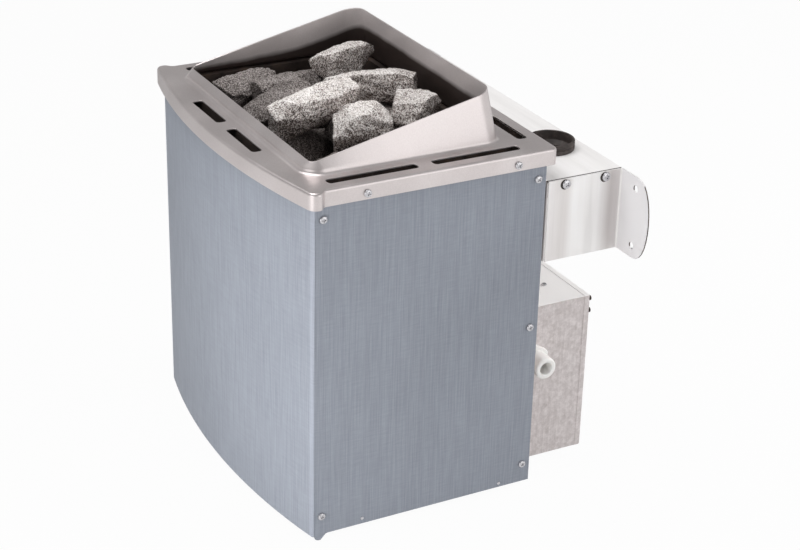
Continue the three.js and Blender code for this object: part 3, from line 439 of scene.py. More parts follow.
def makeBracketSteel(name, tones, metallic):
    # zinc-plated strip, rolled then plated: bright, with soft bands along the rolling direction,
    # and painted reflection bands across the wings
    finish = bracketFinish
    material, tree, shader, coords = startMaterial(name, {"Metallic": metallic})
    bands = strokesAlong(tree, coords, finish["bands"], {"Detail": 3.0, "Roughness": 0.55})
    strokes = strokesAlong(tree, coords, finish["strokes"], {"Detail": 2.0})
    total = addNode(tree, "Math", {
        0: strokes, 1: finish["strokeShare"], 2: bands,
    }, operation="MULTIPLY_ADD")
    colour = addNode(tree, "ValToRGB", {"Fac": total}, stops=list(zip(finish["places"], tones)))
    gloss = addNode(tree, "MapRange", {
        "Value": bands, **noiseSpan,
        "To Min": finish["roughness"] + finish["glossShift"],
        "To Max": finish["roughness"] - finish["glossShift"],
    })
    place = addNode(tree, "SeparateXYZ", {"Vector": coords})
    along = addNode(tree, "MapRange", {
        "Value": place.outputs["Y"],
        "From Min": (finish["reflectionFrom"] + fold["y"]) * mm,
        "From Max": (finish["reflectionTo"] + fold["y"]) * mm,
    })
    reflectionBands = addNode(tree, "ValToRGB", {"Fac": along}, stops=finish["reflectionBands"])
    facing = facingOf(tree)
    upright = addNode(tree, "Math", {0: facing["X"]}, operation="ABSOLUTE")
    reflected = addNode(tree, "MixRGB", {
        "Fac": upright, "Color1": colour, "Color2": reflectionBands,
    }, blend_type="MULTIPLY")  # painted reflection: light and dull upright bands across the wings
    setInputs(tree, shader, {"Base Color": reflected, "Roughness": gloss})
    return material


zincFinish = {
    # the near-white tone for faces turned up is painted light
    "tones": [(0.45, "#C0B7B5"), (0.74, "#D2CAC9"), (0.95, "#E2DBDA")], "topLight": "#FDFCFB",
    "spangle": 7, "spangleShare": 0.14, "mottle": 5, "streaks": (2.2, 2.2, 150), "streakShare": 0.35,
    "metallic": 0.3, "roughness": 0.45, "glossShift": 0.1, "topLightFacing": (0.3, 0.9), "topLightMost": 0.95,
}


def makeGalvanisedSheet():
    # hot-dip galvanised sheet: grey crystals of zinc with a dull mottled bloom and a few fine draw lines,
    # and faces turned up painted near white as painted light
    finish = zincFinish
    material, tree, shader, coords = startMaterial("galvanisedSheet", {})
    crystals = crystalTones(tree, coords, finish["spangle"])
    mottle = addNode(tree, "TexNoise", {
        "Vector": coords, "Scale": 1000 / finish["mottle"], "Detail": 4.0, "Roughness": 0.65,
    })
    lines = strokesAlong(tree, coords, finish["streaks"], {"Detail": 2.0})
    tone = addNode(tree, "Math", {
        0: crystals["Red"], 1: finish["spangleShare"], 2: mottle,
    }, operation="MULTIPLY_ADD")
    total = addNode(tree, "Math", {0: lines, 1: finish["streakShare"], 2: tone}, operation="MULTIPLY_ADD")
    colour = addNode(tree, "ValToRGB", {"Fac": total}, stops=finish["tones"])
    gloss = addNode(tree, "MapRange", {
        "Value": crystals["Green"],
        "To Min": finish["roughness"] - finish["glossShift"],
        "To Max": finish["roughness"] + finish["glossShift"],
    })
    facing = facingOf(tree)
    topLitShare = addNode(tree, "MapRange", {
        "Value": facing["Z"], "From Min": finish["topLightFacing"][0], "From Max": finish["topLightFacing"][1],
        "To Min": 0.0, "To Max": finish["topLightMost"],
    })
    topLitColour = addNode(tree, "MixRGB", {
        "Fac": topLitShare, "Color1": colour, "Color2": linear(finish["topLight"]),
    })  # painted light: faces turned up are painted near white
    topLitMetallic = addNode(tree, "Math", {
        0: topLitShare, 1: -finish["metallic"], 2: finish["metallic"],
    }, operation="MULTIPLY_ADD")
    setInputs(tree, shader, {"Base Color": topLitColour, "Metallic": topLitMetallic, "Roughness": gloss})
    return material


def makeMottled(name, finish):  # tone, and where given gloss and relief, that follow soft noise
    material, tree, shader, coords = startMaterial(name, finish["shader"])
    if "stretch" in finish:
        coords = addNode(tree, "Mapping", {"Vector": coords, "Scale": finish["stretch"]})
    patches = addNode(tree, "TexNoise", {"Vector": coords, **finish["patch"]})
    ends = {"Base Color": addNode(tree, "ValToRGB", {"Fac": patches}, stops=finish["tones"])}
    if "gloss" in finish:
        ends["Roughness"] = addNode(tree, "MapRange", {
            "Value": patches, **noiseSpan, "To Min": finish["gloss"][0], "To Max": finish["gloss"][1],
        })
    if "relief" in finish:
        grain = addNode(tree, "TexNoise", {"Vector": coords, **finish["grain"]})
        ends["Normal"] = addNode(tree, "Bump", {**finish["relief"], "Height": grain})
    setInputs(tree, shader, ends)
    return material


# mild steel sheet that has been red hot: a dull near-black scale with brown rust showing in patches
wellFinish = {
    "tones": [(0.35, "#2E2724"), (0.55, "#4A3F3A"), (0.72, "#5E4C40")], "gloss": (0.58, 0.85),
    "patch": {"Scale": 1000 / 22, "Detail": 6.0, "Roughness": 0.7}, "shader": {"Metallic": 0.35},
    "grain": {"Scale": 1000 / 2.5, "Detail": 2.0}, "relief": {"Strength": 0.3, "Distance": 0.2 * mm},
}
# heat-resisting stainless tube, oxidised in use: brown-black with rings of temper colour along it
tubeFinish = {
    "tones": [(0.32, "#3A312C"), (0.52, "#57483D"), (0.7, "#6A625D")], "gloss": (0.62, 0.4),
    "stretch": (12, 12, 1000 / 9), "patch": {"Scale": 1.0, "Detail": 4.0}, "shader": {"Metallic": 0.7},
}
# polyamide 6, injection moulded against a spark-eroded tool: soft white with a faint grain
glandFinish = {
    "tones": [(0.3, "#F3F1EE"), (0.7, "#FBFAF8")], "patch": {"Scale": 1000 / 12, "Detail": 2.0},
    "grain": {"Scale": 1000 / 1.2, "Detail": 2.0}, "relief": {"Strength": 0.08, "Distance": 0.1 * mm},
    "shader": {
        "Roughness": 0.38, "IOR": 1.53,
        "Subsurface Weight": 0.08, "Subsurface Radius": (2 * mm, 1.8 * mm, 1.6 * mm),
    },
}
# steatite, pressed and fired without a glaze: cream white, chalky, a few grey specks
steatiteFinish = {
    "tones": [(0.25, "#CFC7B8"), (0.45, "#E6E0D4"), (0.8, "#EFEAE0")],
    "patch": {"Scale": 1000 / 2, "Detail": 3.0}, "shader": {"Roughness": 0.6, "IOR": 1.6},
}
# EPDM rubber, compression moulded: dull brown-black, dusty where it is touched
rubberFinish = {
    "tones": [(0.3, "#2A2422"), (0.55, "#3B3330"), (0.8, "#544A47")],
    "patch": {"Scale": 1000 / 7, "Detail": 5.0}, "shader": {"Roughness": 0.62, "IOR": 1.5},
    "grain": {"Scale": 1000 / 7, "Detail": 5.0}, "relief": {"Strength": 0.1, "Distance": 0.2 * mm},
}
# cold-headed steel screw, bright zinc plated: mirror-like with soft tumbling marks
screwFinish = {
    "tones": [(0.3, "#B9B8BB"), (0.7, "#DEDDE0")], "gloss": (0.2, 0.36),
    "patch": {"Scale": 1000 / 1.2, "Detail": 2.0}, "shader": {"Metallic": 0.9},
}
sleeveFinish = {
    "tones": [(0.1, "#A59C88"), (0.6, "#CFC8B6"), (1.0, "#E0DACA")], "strand": 2, "roughness": 0.75,
    "wavesPerUnit": 6.28, "quarterTurn": 1.57, "relief": {"Strength": 0.4, "Distance": 0.3 * mm},
}


def makeGlassSleeve():
    # braided glass-fibre sleeve, silicone washed: a fine basket of pale strands
    finish = sleeveFinish
    material, tree, shader, coords = startMaterial("braidedGlassSleeve", {"Roughness": finish["roughness"]})
    counter = addNode(tree, "Mapping", {"Vector": coords, "Rotation": (0, 0, finish["quarterTurn"])})
    strands = []
    for course in (coords, counter):
        strand = addNode(tree, "TexWave", {
            "Vector": course, "Scale": 1000 / finish["strand"] / finish["wavesPerUnit"], "Distortion": 1.5,
        }, bands_direction="DIAGONAL")
        strands.append(strand.outputs["Fac"])
    braid = addNode(tree, "Math", {0: strands[0], 1: strands[1]}, operation="MAXIMUM")
    colour = addNode(tree, "ValToRGB", {"Fac": braid}, stops=finish["tones"])
    relief = addNode(tree, "Bump", {**finish["relief"], "Height": braid})
    setInputs(tree, shader, {"Base Color": colour, "Normal": relief})
    return material


stoneFinish = {
    "pale": [(0.0, "#3F3530"), (0.22, "#776B66"), (0.43, "#B6ABA6"), (0.64, "#DED6D2"), (0.92, "#FAF6F3")],
    "grey": [(0.0, "#282220"), (0.3, "#443D3A"), (0.55, "#625A57"), (0.8, "#89817E"), (1.0, "#AEA7A4")],
    # the lower stones' darker tones are partly soot and partly painted shade
    "sootyShaded": [(0.0, "#2A2421"), (0.3, "#443B38"), (0.55, "#5D5450"), (0.8, "#7F7672"), (1.0, "#A39B97")],
    "grain": 0.95, "contrast": 0.96, "patch": 26, "patchShade": 0.14,
    # the shift by facing is painted light and shade: lighter upper faces, darker lower faces
    "faceLightShift": (-0.28, 0.19), "faceLightFacing": (-0.3, 0.9),
    "roughness": 0.9, "relief": {"Strength": 0.7, "Distance": 0.8 * mm},
}


def makeStone(name, grains):
    # peridotite, split by hand: rough broken faces of pale and black crystals,
    # the lower stones darker, partly from soot and partly as painted shade
    finish = stoneFinish
    material, tree, shader, coords = startMaterial(name, {"Roughness": finish["roughness"]})
    crystals = crystalTones(tree, coords, finish["grain"])
    patches = addNode(tree, "TexNoise", {"Vector": coords, "Scale": 1000 / finish["patch"], "Detail": 4.0})
    patchTone = addNode(tree, "MapRange", {
        "Value": patches, **noiseSpan, "To Min": -finish["patchShade"], "To Max": finish["patchShade"],
    })
    facing = facingOf(tree)
    faceLight = addNode(tree, "MapRange", {
        "Value": facing["Z"], "From Min": finish["faceLightFacing"][0], "From Max": finish["faceLightFacing"][1],
        "To Min": finish["faceLightShift"][0], "To Max": finish["faceLightShift"][1],
    })  # painted light and shade: upper faces lighter, lower faces darker
    softened = addNode(tree, "MapRange", {
        "Value": crystals["Red"],
        "To Min": 0.5 - finish["contrast"] / 2, "To Max": 0.5 + finish["contrast"] / 2,
    })
    tone = addNode(tree, "Math", {0: softened, 1: patchTone}, operation="ADD")
    total = addNode(tree, "Math", {0: tone, 1: faceLight}, operation="ADD")
    colour = addNode(tree, "ValToRGB", {"Fac": total}, stops=grains)
    relief = addNode(tree, "Bump", {**finish["relief"], "Height": crystals["Green"]})
    setInputs(tree, shader, {"Base Color": colour, "Normal": relief})
    return material


casingSteel = makeBrushedSheet("brushedStainlessSheet", casingFinish["sheet"])
foldHighlightSteel = makeBrushedSheet("stainlessFoldPaintedHighlight", casingFinish["fold"])
rimSteel = makeBlastedRim("beadBlastedStainless", False)
shadedHeatedSteel = makeBlastedRim("shadedHeatBlackenedStainless", True)
bracketSteel = makeBracketSteel("zincPlatedStrip", bracketFinish["plate"], bracketFinish["dull"])
wingPaintedLightSteel = makeBracketSteel("polishedZincStripPaintedLight", bracketFinish["wing"], bracketFinish["polished"])
earPaintedShadeSteel = makeBracketSteel("zincStripPaintedShade", bracketFinish["ear"], bracketFinish["dull"])
galvanised = makeGalvanisedSheet()
scaledSteel = makeMottled("heatScaledSteel", wellFinish)
elementTube = makeMottled("oxidisedElementTube", tubeFinish)
polyamide = makeMottled("mouldedPolyamide", glandFinish)
steatite = makeMottled("firedSteatite", steatiteFinish)
glassSleeve = makeGlassSleeve()
rubber = makeMottled("mouldedEpdm", rubberFinish)
screwZinc = makeMottled("brightZincScrew", screwFinish)
paleStone = makeStone("splitPeridotite", stoneFinish["pale"])
greyStone = makeStone("greyPeridotite", stoneFinish["grey"])
sootyShadedStone = makeStone("sootyShadedPeridotite", stoneFinish["sootyShaded"])
print("materials made:", len(bpy.data.materials))


# Casing: bowed front with rounded folds, flat sides behind it
casing = {
    "half": 200, "bow": 23, "sheet": 1.2, "foldRadius": 2.6, "foldSteps": 8, "arcSteps": 104,
    "flangeEnd": 18, "flangeOutside": 198.5, "flangeStep": 0.2, "height": 398.5,
    "sideStart": 2.2, "sideEnd": 270, "sideLift": 1.5, "nib": 5.5, "nibLength": 14, "nibSteps": 8,
    "softEdge": 0.25, "frontAngle": 55, "sideAngle": 35, "highlightFrom": 195,
}
bowRadius = (casing["half"] ** 2 + casing["bow"] ** 2) / (2 * casing["bow"])
bowCentre = bowRadius - casing["bow"]


def bowPoint(radius, angle):
    return radius * math.sin(angle), bowCentre - radius * math.cos(angle)


def bowArc(radius, endX):  # points along the bow from left to right, without its ends
    swing, steps = math.asin(endX / radius), casing["arcSteps"]
    return [bowPoint(radius, -swing + 2 * swing * i / steps) for i in range(1, steps)]


def foldProfile(radius, half, foldRadius):  # the rounded fold at the bow's right end
    steps = casing["foldSteps"]
    cx = half - foldRadius
    cy = bowCentre - math.sqrt((radius - foldRadius) ** 2 - cx ** 2)
    start = math.atan2(cy - bowCentre, cx)
    angles = [start * (1 - i / steps) for i in range(steps + 1)]
    return [(cx + foldRadius * math.cos(a), cy + foldRadius * math.sin(a)) for a in angles]


def makeFrontPanel():
    innerRadius = bowRadius - casing["sheet"]
    outer = foldProfile(bowRadius, casing["half"], casing["foldRadius"])
    inner = foldProfile(innerRadius, casing["half"] - casing["sheet"], casing["foldRadius"] - casing["sheet"])
    flange, end = casing["flangeOutside"], casing["flangeEnd"]
    flangeIn = flange - casing["sheet"]
    right = outer + [(flange, outer[-1][1] + casing["flangeStep"]), (flange, end), (flangeIn, end)]
    right += [(min(x, flangeIn), y) for x, y in inner[::-1]]
    left = [(-x, y) for x, y in right[::-1]]
    outline = bowArc(bowRadius, outer[0][0]) + right + bowArc(innerRadius, inner[0][0])[::-1] + left
    bm = bmesh.new()
    prism(bm, outline, 0, casing["height"], spot)
    softenEdges(bm, casing["softEdge"], casing["frontAngle"])
    panel = finishPiece("front_panel_bowed", bm, casingSteel, ("front_panel",))
    panel.data.materials.append(foldHighlightSteel)
    for face in panel.data.polygons:  # painted highlight: the last strip of the bow by each fold takes lighter tones
        forward = face.normal.y < -0.3 and abs(face.normal.z) < 0.1
        if forward and abs(face.center.x) > casing["highlightFrom"] * mm:
            face.material_index = 1


def makeSidePanel(name, side):
    start, end, top, lift = casing["sideStart"], casing["sideEnd"], casing["height"], casing["sideLift"]
    nib = [(start, 0), (start, -casing["nib"]), (start + casing["nibLength"] / 2, -casing["nib"])]
    outline = [(start, top), (start, 0)] + bezier(nib, casing["nibSteps"])
    outline += [(start + casing["nibLength"], lift), (end, lift), (end, top)]
    bm = bmesh.new()
    inside, outside = side * (casing["half"] - casing["sheet"]), side * casing["half"]
    prism(bm, outline, inside, outside, lambda y, z, x: spot(x, y, z))
    softenEdges(bm, casing["softEdge"], casing["sideAngle"])
    finishPiece(f"side_panel_{name}_brushed", bm, casingSteel, (f"side_panel_{name}",))


makeFrontPanel()
for sideName, sideSign in sides:
    makeSidePanel(sideName, sideSign)
print("casing made")


# Rim: one pressing with skirt, vents and the sloping collar
rim = {
    "sheet": 1.5, "low": 385, "skirtRow": 6, "top": 403.5, "edge": 3.2, "edgeSteps": 8,
    "frontReach": 7.5, "frontSteps": 32, "sideReach": 2.3, "sideSteps": 12, "cornerReach": 9,
    "cornerRadius": 8, "cornerEnd": 13, "cornerSteps": 8, "bendSteps": 10,
    "back": 282, "backSteps": 8, "backCorner": 6.5, "turnSteps": 6,
    "collarHalf": 166, "collarFront": 9.3, "collarBack": 235.3, "collarCorner": 20, "collarSteps": (10, 12),
    "foot": 5, "footSteps": 7, "leanSide": 7, "leanFront": 7.4, "leanBack": 9, "wallSteps": 6,
    "frontHeight": 11.6, "backHeight": 58, "topCorners": (8, 20),  # front and back
    "ventCorner": 4, "ventLip": 0.35, "ventLipSteps": 4, "ventDepth": 1.7, "ventSteps": (5, 4),
    "softEdge": 0.4, "softAngle": 50,
}
vents = [  # middle x, middle y, length along x, length along y
    (-46.4, -7.7, 70.5, 11.8), (46.4, -7.7, 70.5, 11.8), (-128, 261.5, 72, 11.8), (128, 261.5, 72, 11.8),
    (-183.4, 73, 11.8, 102.5), (-183.4, 193, 11.8, 102.5),
    (183.4, 73, 11.8, 102.5), (183.4, 193, 11.8, 102.5),
]


def rimOutline(inset):
    corner = casing["half"] + rim["cornerReach"] - inset
    side = casing["half"] + rim["sideReach"] - inset
    back = rim["back"] - inset
    radius = bowRadius + rim["frontReach"] - inset
    swing = math.asin((casing["half"] + rim["cornerReach"] - rim["cornerRadius"]) / radius)
    cornerFront = bowCentre - math.sqrt(radius ** 2 - corner ** 2)
    bendStart, bendEnd = cornerFront + rim["cornerRadius"] - inset, rim["cornerEnd"]
    bendMiddle = (bendStart + bendEnd) / 2
    steps = rim["frontSteps"]
    points = [bowPoint(radius, swing * i / steps) for i in range(steps + 1)]  # right half of the bowed front
    points += bezier([points[-1], (corner, cornerFront), (corner, bendStart)], rim["cornerSteps"])
    bend = [(corner, bendStart), (corner, bendMiddle), (side, bendMiddle), (side, bendEnd)]
    points += bezier(bend, rim["bendSteps"])
    turnRadius = rim["backCorner"] - inset
    steps = rim["sideSteps"]
    points += [(side, bendEnd + (back - turnRadius - bendEnd) * i / steps) for i in range(1, steps)]
    points += [(side - turnRadius * a, back - turnRadius * b) for a, b in quarterRound(rim["turnSteps"])]
    steps = rim["backSteps"]
    points += [((side - turnRadius) * (1 - i / steps), back) for i in range(1, steps + 1)]
    paintedReflection = [(-x, y) for x, y in points[1:-1]]
    return points + paintedReflection[::-1]


def collarLoop(out, lean=0):  # the collar's outline at its foot, or with a lean of 1 at its top
    half = rim["collarHalf"] + out - lean * rim["leanSide"]
    front = rim["collarFront"] - out + lean * rim["leanFront"]
    back = rim["collarBack"] + out - lean * rim["leanBack"]
    base = rim["collarCorner"]
    radii = [base + out + lean * (corner - base) for corner in rim["topCorners"]]
    return roundBox(-half, half, front, back, radii, *rim["collarSteps"])


def collarTop(y):
    front, back = rim["collarFront"] + rim["leanFront"], rim["collarBack"] - rim["leanBack"]
    rise = rim["backHeight"] - rim["frontHeight"]
    return rim["top"] + rim["frontHeight"] + rise * (y - front) / (back - front)


def ventLoops(x, y, lengthX, lengthY):
    lip, top = rim["ventLip"], rim["top"]
    levels = [(lip * b, top - lip * a) for a, b in quarterRound(rim["ventLipSteps"])]
    levels.append((0, top - rim["ventDepth"]))
    loops = []
    for out, level in levels:
        hx, hy = lengthX / 2 + out, lengthY / 2 + out
        ring = roundBox(x - hx, x + hx, y - hy, y + hy, (rim["ventCorner"] + out,) * 2, *rim["ventSteps"])
        loops.append([spot(px, py, level) for px, py in ring])
    return loops


def makeRim():
    bm = bmesh.new()
    skirt = [(0, rim["low"]), (0, rim["low"] + rim["skirtRow"])]
    skirt += [(rim["edge"] * a, rim["top"] - rim["edge"] * b) for a, b in quarterRound(rim["edgeSteps"])]
    loops = [[spot(x, y, level) for x, y in rimOutline(inset)] for inset, level in skirt]
    ringRows = [skinLoops(bm, loops)[-1]]
    foot = [(rim["foot"] * b, rim["top"] + rim["foot"] * a) for a, b in quarterRound(rim["footSteps"])]
    loops = [[spot(x, y, level) for x, y in collarLoop(out)] for out, level in foot]
    low, high, wallFoot = collarLoop(0), collarLoop(0, 1), rim["top"] + rim["foot"]
    for k in range(1, rim["wallSteps"] + 1):
        share = k / rim["wallSteps"]
        wall = []
        for (x0, y0), (x1, y1) in zip(low, high):
            z = wallFoot + (collarTop(y1) - wallFoot) * share
            wall.append(spot(x0 + (x1 - x0) * share, y0 + (y1 - y0) * share, z))
        loops.append(wall)
    ringRows.append(skinLoops(bm, loops)[0])
    ringRows += [skinLoops(bm, ventLoops(*vent))[0] for vent in vents]
    rings = [bm.edges.get(pair) for row in ringRows for pair in zip(row, row[1:] + row[:1])]
    filled = bmesh.ops.triangle_fill(bm, edges=rings, use_beauty=True, use_dissolve=False, normal=(0, 0, 1))
    for face in [g for g in filled["geom"] if isinstance(g, bmesh.types.BMFace)]:
        if face.normal.z < 0:
            face.normal_flip()
    bm.normal_update()
    piece = finishPiece("top_rim_pressing", bm, rimSteel, ("top_rim",), crisp=False)
    piece.data.materials.append(shadedHeatedSteel)
    thick = piece.modifiers.new("sheet", "SOLIDIFY")
    thick.thickness = rim["sheet"] * mm
    thick.offset = -1
    thick.use_even_offset = True
    thick.material_offset = 1  # the inside takes the finish with painted shade and heat tint
    soft = piece.modifiers.new("softEdge", "BEVEL")
    soft.width = rim["softEdge"] * mm
    soft.segments = 2
    soft.limit_method = "ANGLE"
    soft.angle_limit = math.radians(rim["softAngle"])
    piece.modifiers.new("crispNormals", "WEIGHTED_NORMAL").keep_sharp = True


makeRim()
print("rim made")


# Stones: each solid is grown, cut back to flat broken faces at about its own size, remeshed and roughened
stones = {
    "grow": 1.22, "faceCut": (0.79, 0.82), "faceTilt": 0.08, "edgeCuts": 7, "edgeCut": (0.8, 0.9),
    "cornerShare": (0.5, 1), "edgeShare": (0, 0.5), "snap": 0.01,
    "voxel": 1.7, "sink": 0.9, "middle": (10, 1.5), "fine": (3.6, 0.8), "limit": 0.3, "sharp": 40,
    "firstSeed": 21, "seedShift": (7.3, 3.1, 5.7),
    "grey": ("stone_upper_1", "stone_upper_4", "stone_lower_7"),
}


def splitFaces(bm, middle, chance):  # a flat face on each side, then broken edges and corners
    places = numpy.array([vert.co - middle for vert in bm.verts])
    axes = [Vector(axis) for axis in numpy.linalg.eigh(places.T @ places)[1].T]  # along the stone's own sides
    half = [max(abs(axis.dot(Vector(place))) for place in places) for axis in axes]
    aims = []
    for axis in axes:
        for sign in (-1, 1):
            tilt = Vector([chance.uniform(-1, 1) for _ in range(3)]) * stones["faceTilt"]
            aims.append((axis * sign + tilt, chance.uniform(*stones["faceCut"])))
    for _ in range(stones["edgeCuts"]):
        shares = [chance.choice((-1, 1)) * chance.uniform(*stones["cornerShare"]) for _ in range(3)]
        shares[chance.randrange(3)] *= chance.uniform(*stones["edgeShare"])
        aim = sum((axis * share / h for axis, share, h in zip(axes, shares, half)), Vector((0, 0, 0)))
        aims.append((aim, chance.uniform(*stones["edgeCut"])))
    for aim, share in aims:
        aim = aim.normalized()
        reach = max((vert.co - middle).dot(aim) for vert in bm.verts)
        cut = bmesh.ops.bisect_plane(
            bm, geom=bm.verts[:] + bm.edges[:] + bm.faces[:], dist=stones["snap"] * mm,
            plane_co=middle + aim * reach * share, plane_no=aim, clear_outer=True,
        )
        bmesh.ops.holes_fill(bm, edges=[e for e in cut["geom_cut"] if isinstance(e, bmesh.types.BMEdge)])


def roughen(mesh, seed):
    shift = Vector([seed * step for step in stones["seedShift"]])
    moves = []
    for vert in mesh.vertices:
        depth = -stones["sink"]
        for size, height in (stones["middle"], stones["fine"]):
            depth += height * noise.noise(vert.co / mm / size + shift)
        moves.append(vert.co + vert.normal * min(depth, stones["limit"]) * mm)
    for vert, place in zip(mesh.vertices, moves):
        vert.co = place


def makeStonePiece(nodeName, seed, skin):
    bm = solidMesh(nodeName)
    low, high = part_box(nodeName)
    middle = (low + high) / 2
    bmesh.ops.scale(bm, vec=(stones["grow"],) * 3, space=Matrix.Translation(-middle), verts=bm.verts[:])
    splitFaces(bm, middle, random.Random(seed))
    blank = placeBlank(nodeName + "_blank", meshFrom(bm, nodeName + "_blank"))
    remesh = blank.modifiers.new("remesh", "REMESH")
    remesh.mode = "VOXEL"
    remesh.voxel_size = stones["voxel"] * mm
    mesh = shapedMesh(blank)
    roughen(mesh, seed)
    mesh.name = nodeName + "_split"
    finishMesh(mesh, skin, stones["sharp"])
    body = nodeName if nodeName in frame["bodies"] else "heater"
    declare(bpy.data.objects.new(nodeName + "_split", mesh), body, (nodeName,))


stoneNames = sorted(name for name in nodes if name.startswith(("stone_lower", "stone_upper")))
for index, name in enumerate(stoneNames):
    lowerSkin = sootyShadedStone if name.startswith("stone_lower") else paleStone
    makeStonePiece(name, index + stones["firstSeed"], greyStone if name in stones["grey"] else lowerSkin)
print("stones made:", len(stoneNames))


# Heating elements: smooth hairpin tubes, a hair thinner than the solids
hairpin = {
    "x": 144, "rows": (60.3, 122.3, 184.3), "tube": 8, "thinner": 0.999, "legs": 36, "top": 384, "bottom": 52,
    "edges": 20, "bendSteps": 24,
}


def sweepTube(bm, path, radius, edges):
    angles = [2 * math.pi * k / edges for k in range(edges)]
    loops = []
    side = None
    for i, point in enumerate(path):
        ahead = (path[min(i + 1, len(path) - 1)] - path[max(i - 1, 0)]).normalized()
        if side is None:
            side = ahead.orthogonal().normalized()
        side = (side - ahead * side.dot(ahead)).normalized()
        other = ahead.cross(side)
        loops.append([point + (side * math.cos(a) + other * math.sin(a)) * radius for a in angles])
    skinSolid(bm, loops)


def makeElement(name, x, y):
    radius = hairpin["legs"] / 2
    bend = hairpin["top"] - hairpin["tube"] / 2 - radius
    levels = (hairpin["bottom"], (hairpin["bottom"] + bend) / 2)
    path = [spot(x, y - radius, level) for level in levels]
    for i in range(hairpin["bendSteps"] + 1):
        angle = math.pi * (1 - i / hairpin["bendSteps"])
        path.append(spot(x, y + radius * math.cos(angle), bend + radius * math.sin(angle)))
    path += [spot(x, y + radius, level) for level in levels[::-1]]
    bm = bmesh.new()
    sweepTube(bm, path, hairpin["tube"] / 2 * mm * hairpin["thinner"], hairpin["edges"])
    finishPiece(name + "_tube", bm, elementTube, (name,), crisp=False)


for sideName, sideSign in sides:
    for row, y in enumerate(hairpin["rows"]):
        makeElement(f"heating_element_{sideName}_{row + 1}", sideSign * hairpin["x"], y)
print("elements made")


# Gland: a body with a hexagon, and a domed nut on its thread, lengths from the terminal box's side
gland = {
    "y": 287.6, "z": 137, "seat": 167.3, "duct": 8.5, "inside": -11.6, "shank": 12.4, "shankEnd": 3.5,
    "thread": 10.5, "threadStart": 3.6, "threadEnd": 15,
    "hex": 32, "hexCorner": 18, "hexTurns": (-24, -12, 0, 12, 24),
    "hexRows": ((0.96, 0.0), (1.0, 0.7), (1.0, 6.1), (0.95, 7)),  # share of the width, and length
    "nut": 12.8, "nutStart": 7.3, "nutEnd": 29.3, "nutBore": 10.8, "dome": 2.4, "domeSteps": 8, "bore": 7.4,
    "chamfer": 0.6, "mouth": 1.0, "mouthEase": 0.3, "gap": 0.3, "bodyEdges": 56, "nutEdges": 64,
}


def makeGland():
    origin, along = spot(gland["seat"], gland["y"], gland["z"]), (1, 0, 0)
    bm = bmesh.new()
    duct, shank, thread, end = gland["duct"], gland["shank"], gland["thread"], gland["threadEnd"]
    profile = [(duct, gland["inside"]), (shank, gland["inside"]), (shank, gland["shankEnd"])]
    profile += [(thread, gland["threadStart"]), (thread, end), (duct, end)]
    turned(bm, profile, origin, along, gland["bodyEdges"])
    hexagon = []
    for i in range(6):
        for turn in gland["hexTurns"]:
            angle = math.radians(60 * i + turn)
            reach = min(gland["hex"] / 2 / math.cos(math.radians(turn)), gland["hexCorner"])
            hexagon.append((reach * math.cos(angle), reach * math.sin(angle)))
    loops = []
    for share, out in gland["hexRows"]:
        loops.append([origin + Vector((out, share * a, share * b)) * mm for a, b in hexagon])
    skinSolid(bm, loops)
    finishPiece("gland_body_moulded", bm, polyamide, ("gland_body",))
    bm = bmesh.new()
    nut, start, end = gland["nut"], gland["nutStart"], gland["nutEnd"]
    bore, wide, dome = gland["bore"], gland["nutBore"], gland["dome"]
    chamfer, mouth, ease = gland["chamfer"], gland["mouth"], gland["mouthEase"]
    profile = [(wide, start), (nut - chamfer, start), (nut, start + chamfer), (nut, end - dome)]
    profile += [(nut - dome * a, end - dome * b) for a, b in quarterRound(gland["domeSteps"])[1:]]
    profile += [(bore + mouth, end), (bore + ease, end - ease), (bore, end - mouth)]
    profile += [(bore, gland["threadEnd"] + gland["gap"]), (wide, gland["threadEnd"] + gland["gap"])]
    turned(bm, profile, origin, along, gland["nutEdges"])
    finishPiece("gland_dome_nut_moulded", bm, polyamide, ("gland_dome_nut",))


# Grommet: a sleeve with a wide mouth, a groove round its middle and a barb under the bracket's plate
grommet = {
    "x": 118, "y": 326.7, "plateTop": 365.7, "gap": 0.3, "plate": 1.8, "outer": 26.4, "bore": 17, "neck": 22,
    "height": 11, "tail": 4, "barb": 24.6, "mouth": 23.2, "lipRound": 1.2, "lipSteps": 6,
    "grooveDepth": 1, "grooveFrom": 4.3, "grooveWidth": 2.4, "grooveSteps": 8, "edges": 64,
}


def makeGrommet():
    seat, under = grommet["plateTop"] + grommet["gap"], grommet["plateTop"] - grommet["plate"]
    top, outer, bore = seat + grommet["height"], grommet["outer"], grommet["bore"]
    neck, mouth, lip = grommet["neck"], grommet["mouth"], grommet["lipRound"]
    profile = [(bore, under - grommet["tail"]), (neck - 0.6, under - grommet["tail"])]
    profile += [(grommet["barb"], under - 0.4), (grommet["barb"] - 0.2, under)]
    profile += [(neck, under), (neck, seat), (outer - 0.5, seat), (outer, seat + 0.6)]
    for i in range(grommet["grooveSteps"] + 1):
        share = i / grommet["grooveSteps"]
        level = seat + grommet["grooveFrom"] + grommet["grooveWidth"] * share
        profile.append((outer - grommet["grooveDepth"] * math.sin(math.pi * share), level))
    profile += [(outer - lip * a, top - lip * b) for a, b in quarterRound(grommet["lipSteps"])]
    profile += [(mouth + 1.0, top), (mouth + 0.3, top - 0.3), (mouth, top - 1.0)]
    profile += [(mouth - 0.6, seat + 1.2), (mouth - 1.6, seat + 0.2), (bore, under - 1)]
    bm = bmesh.new()
    turned(bm, profile, spot(grommet["x"], grommet["y"], 0), (0, 0, 1), grommet["edges"])
    finishPiece("bracket_grommet_moulded", bm, rubber, ("bracket_grommet",))


makeGland()
makeGrommet()
print("gland and grommet made")
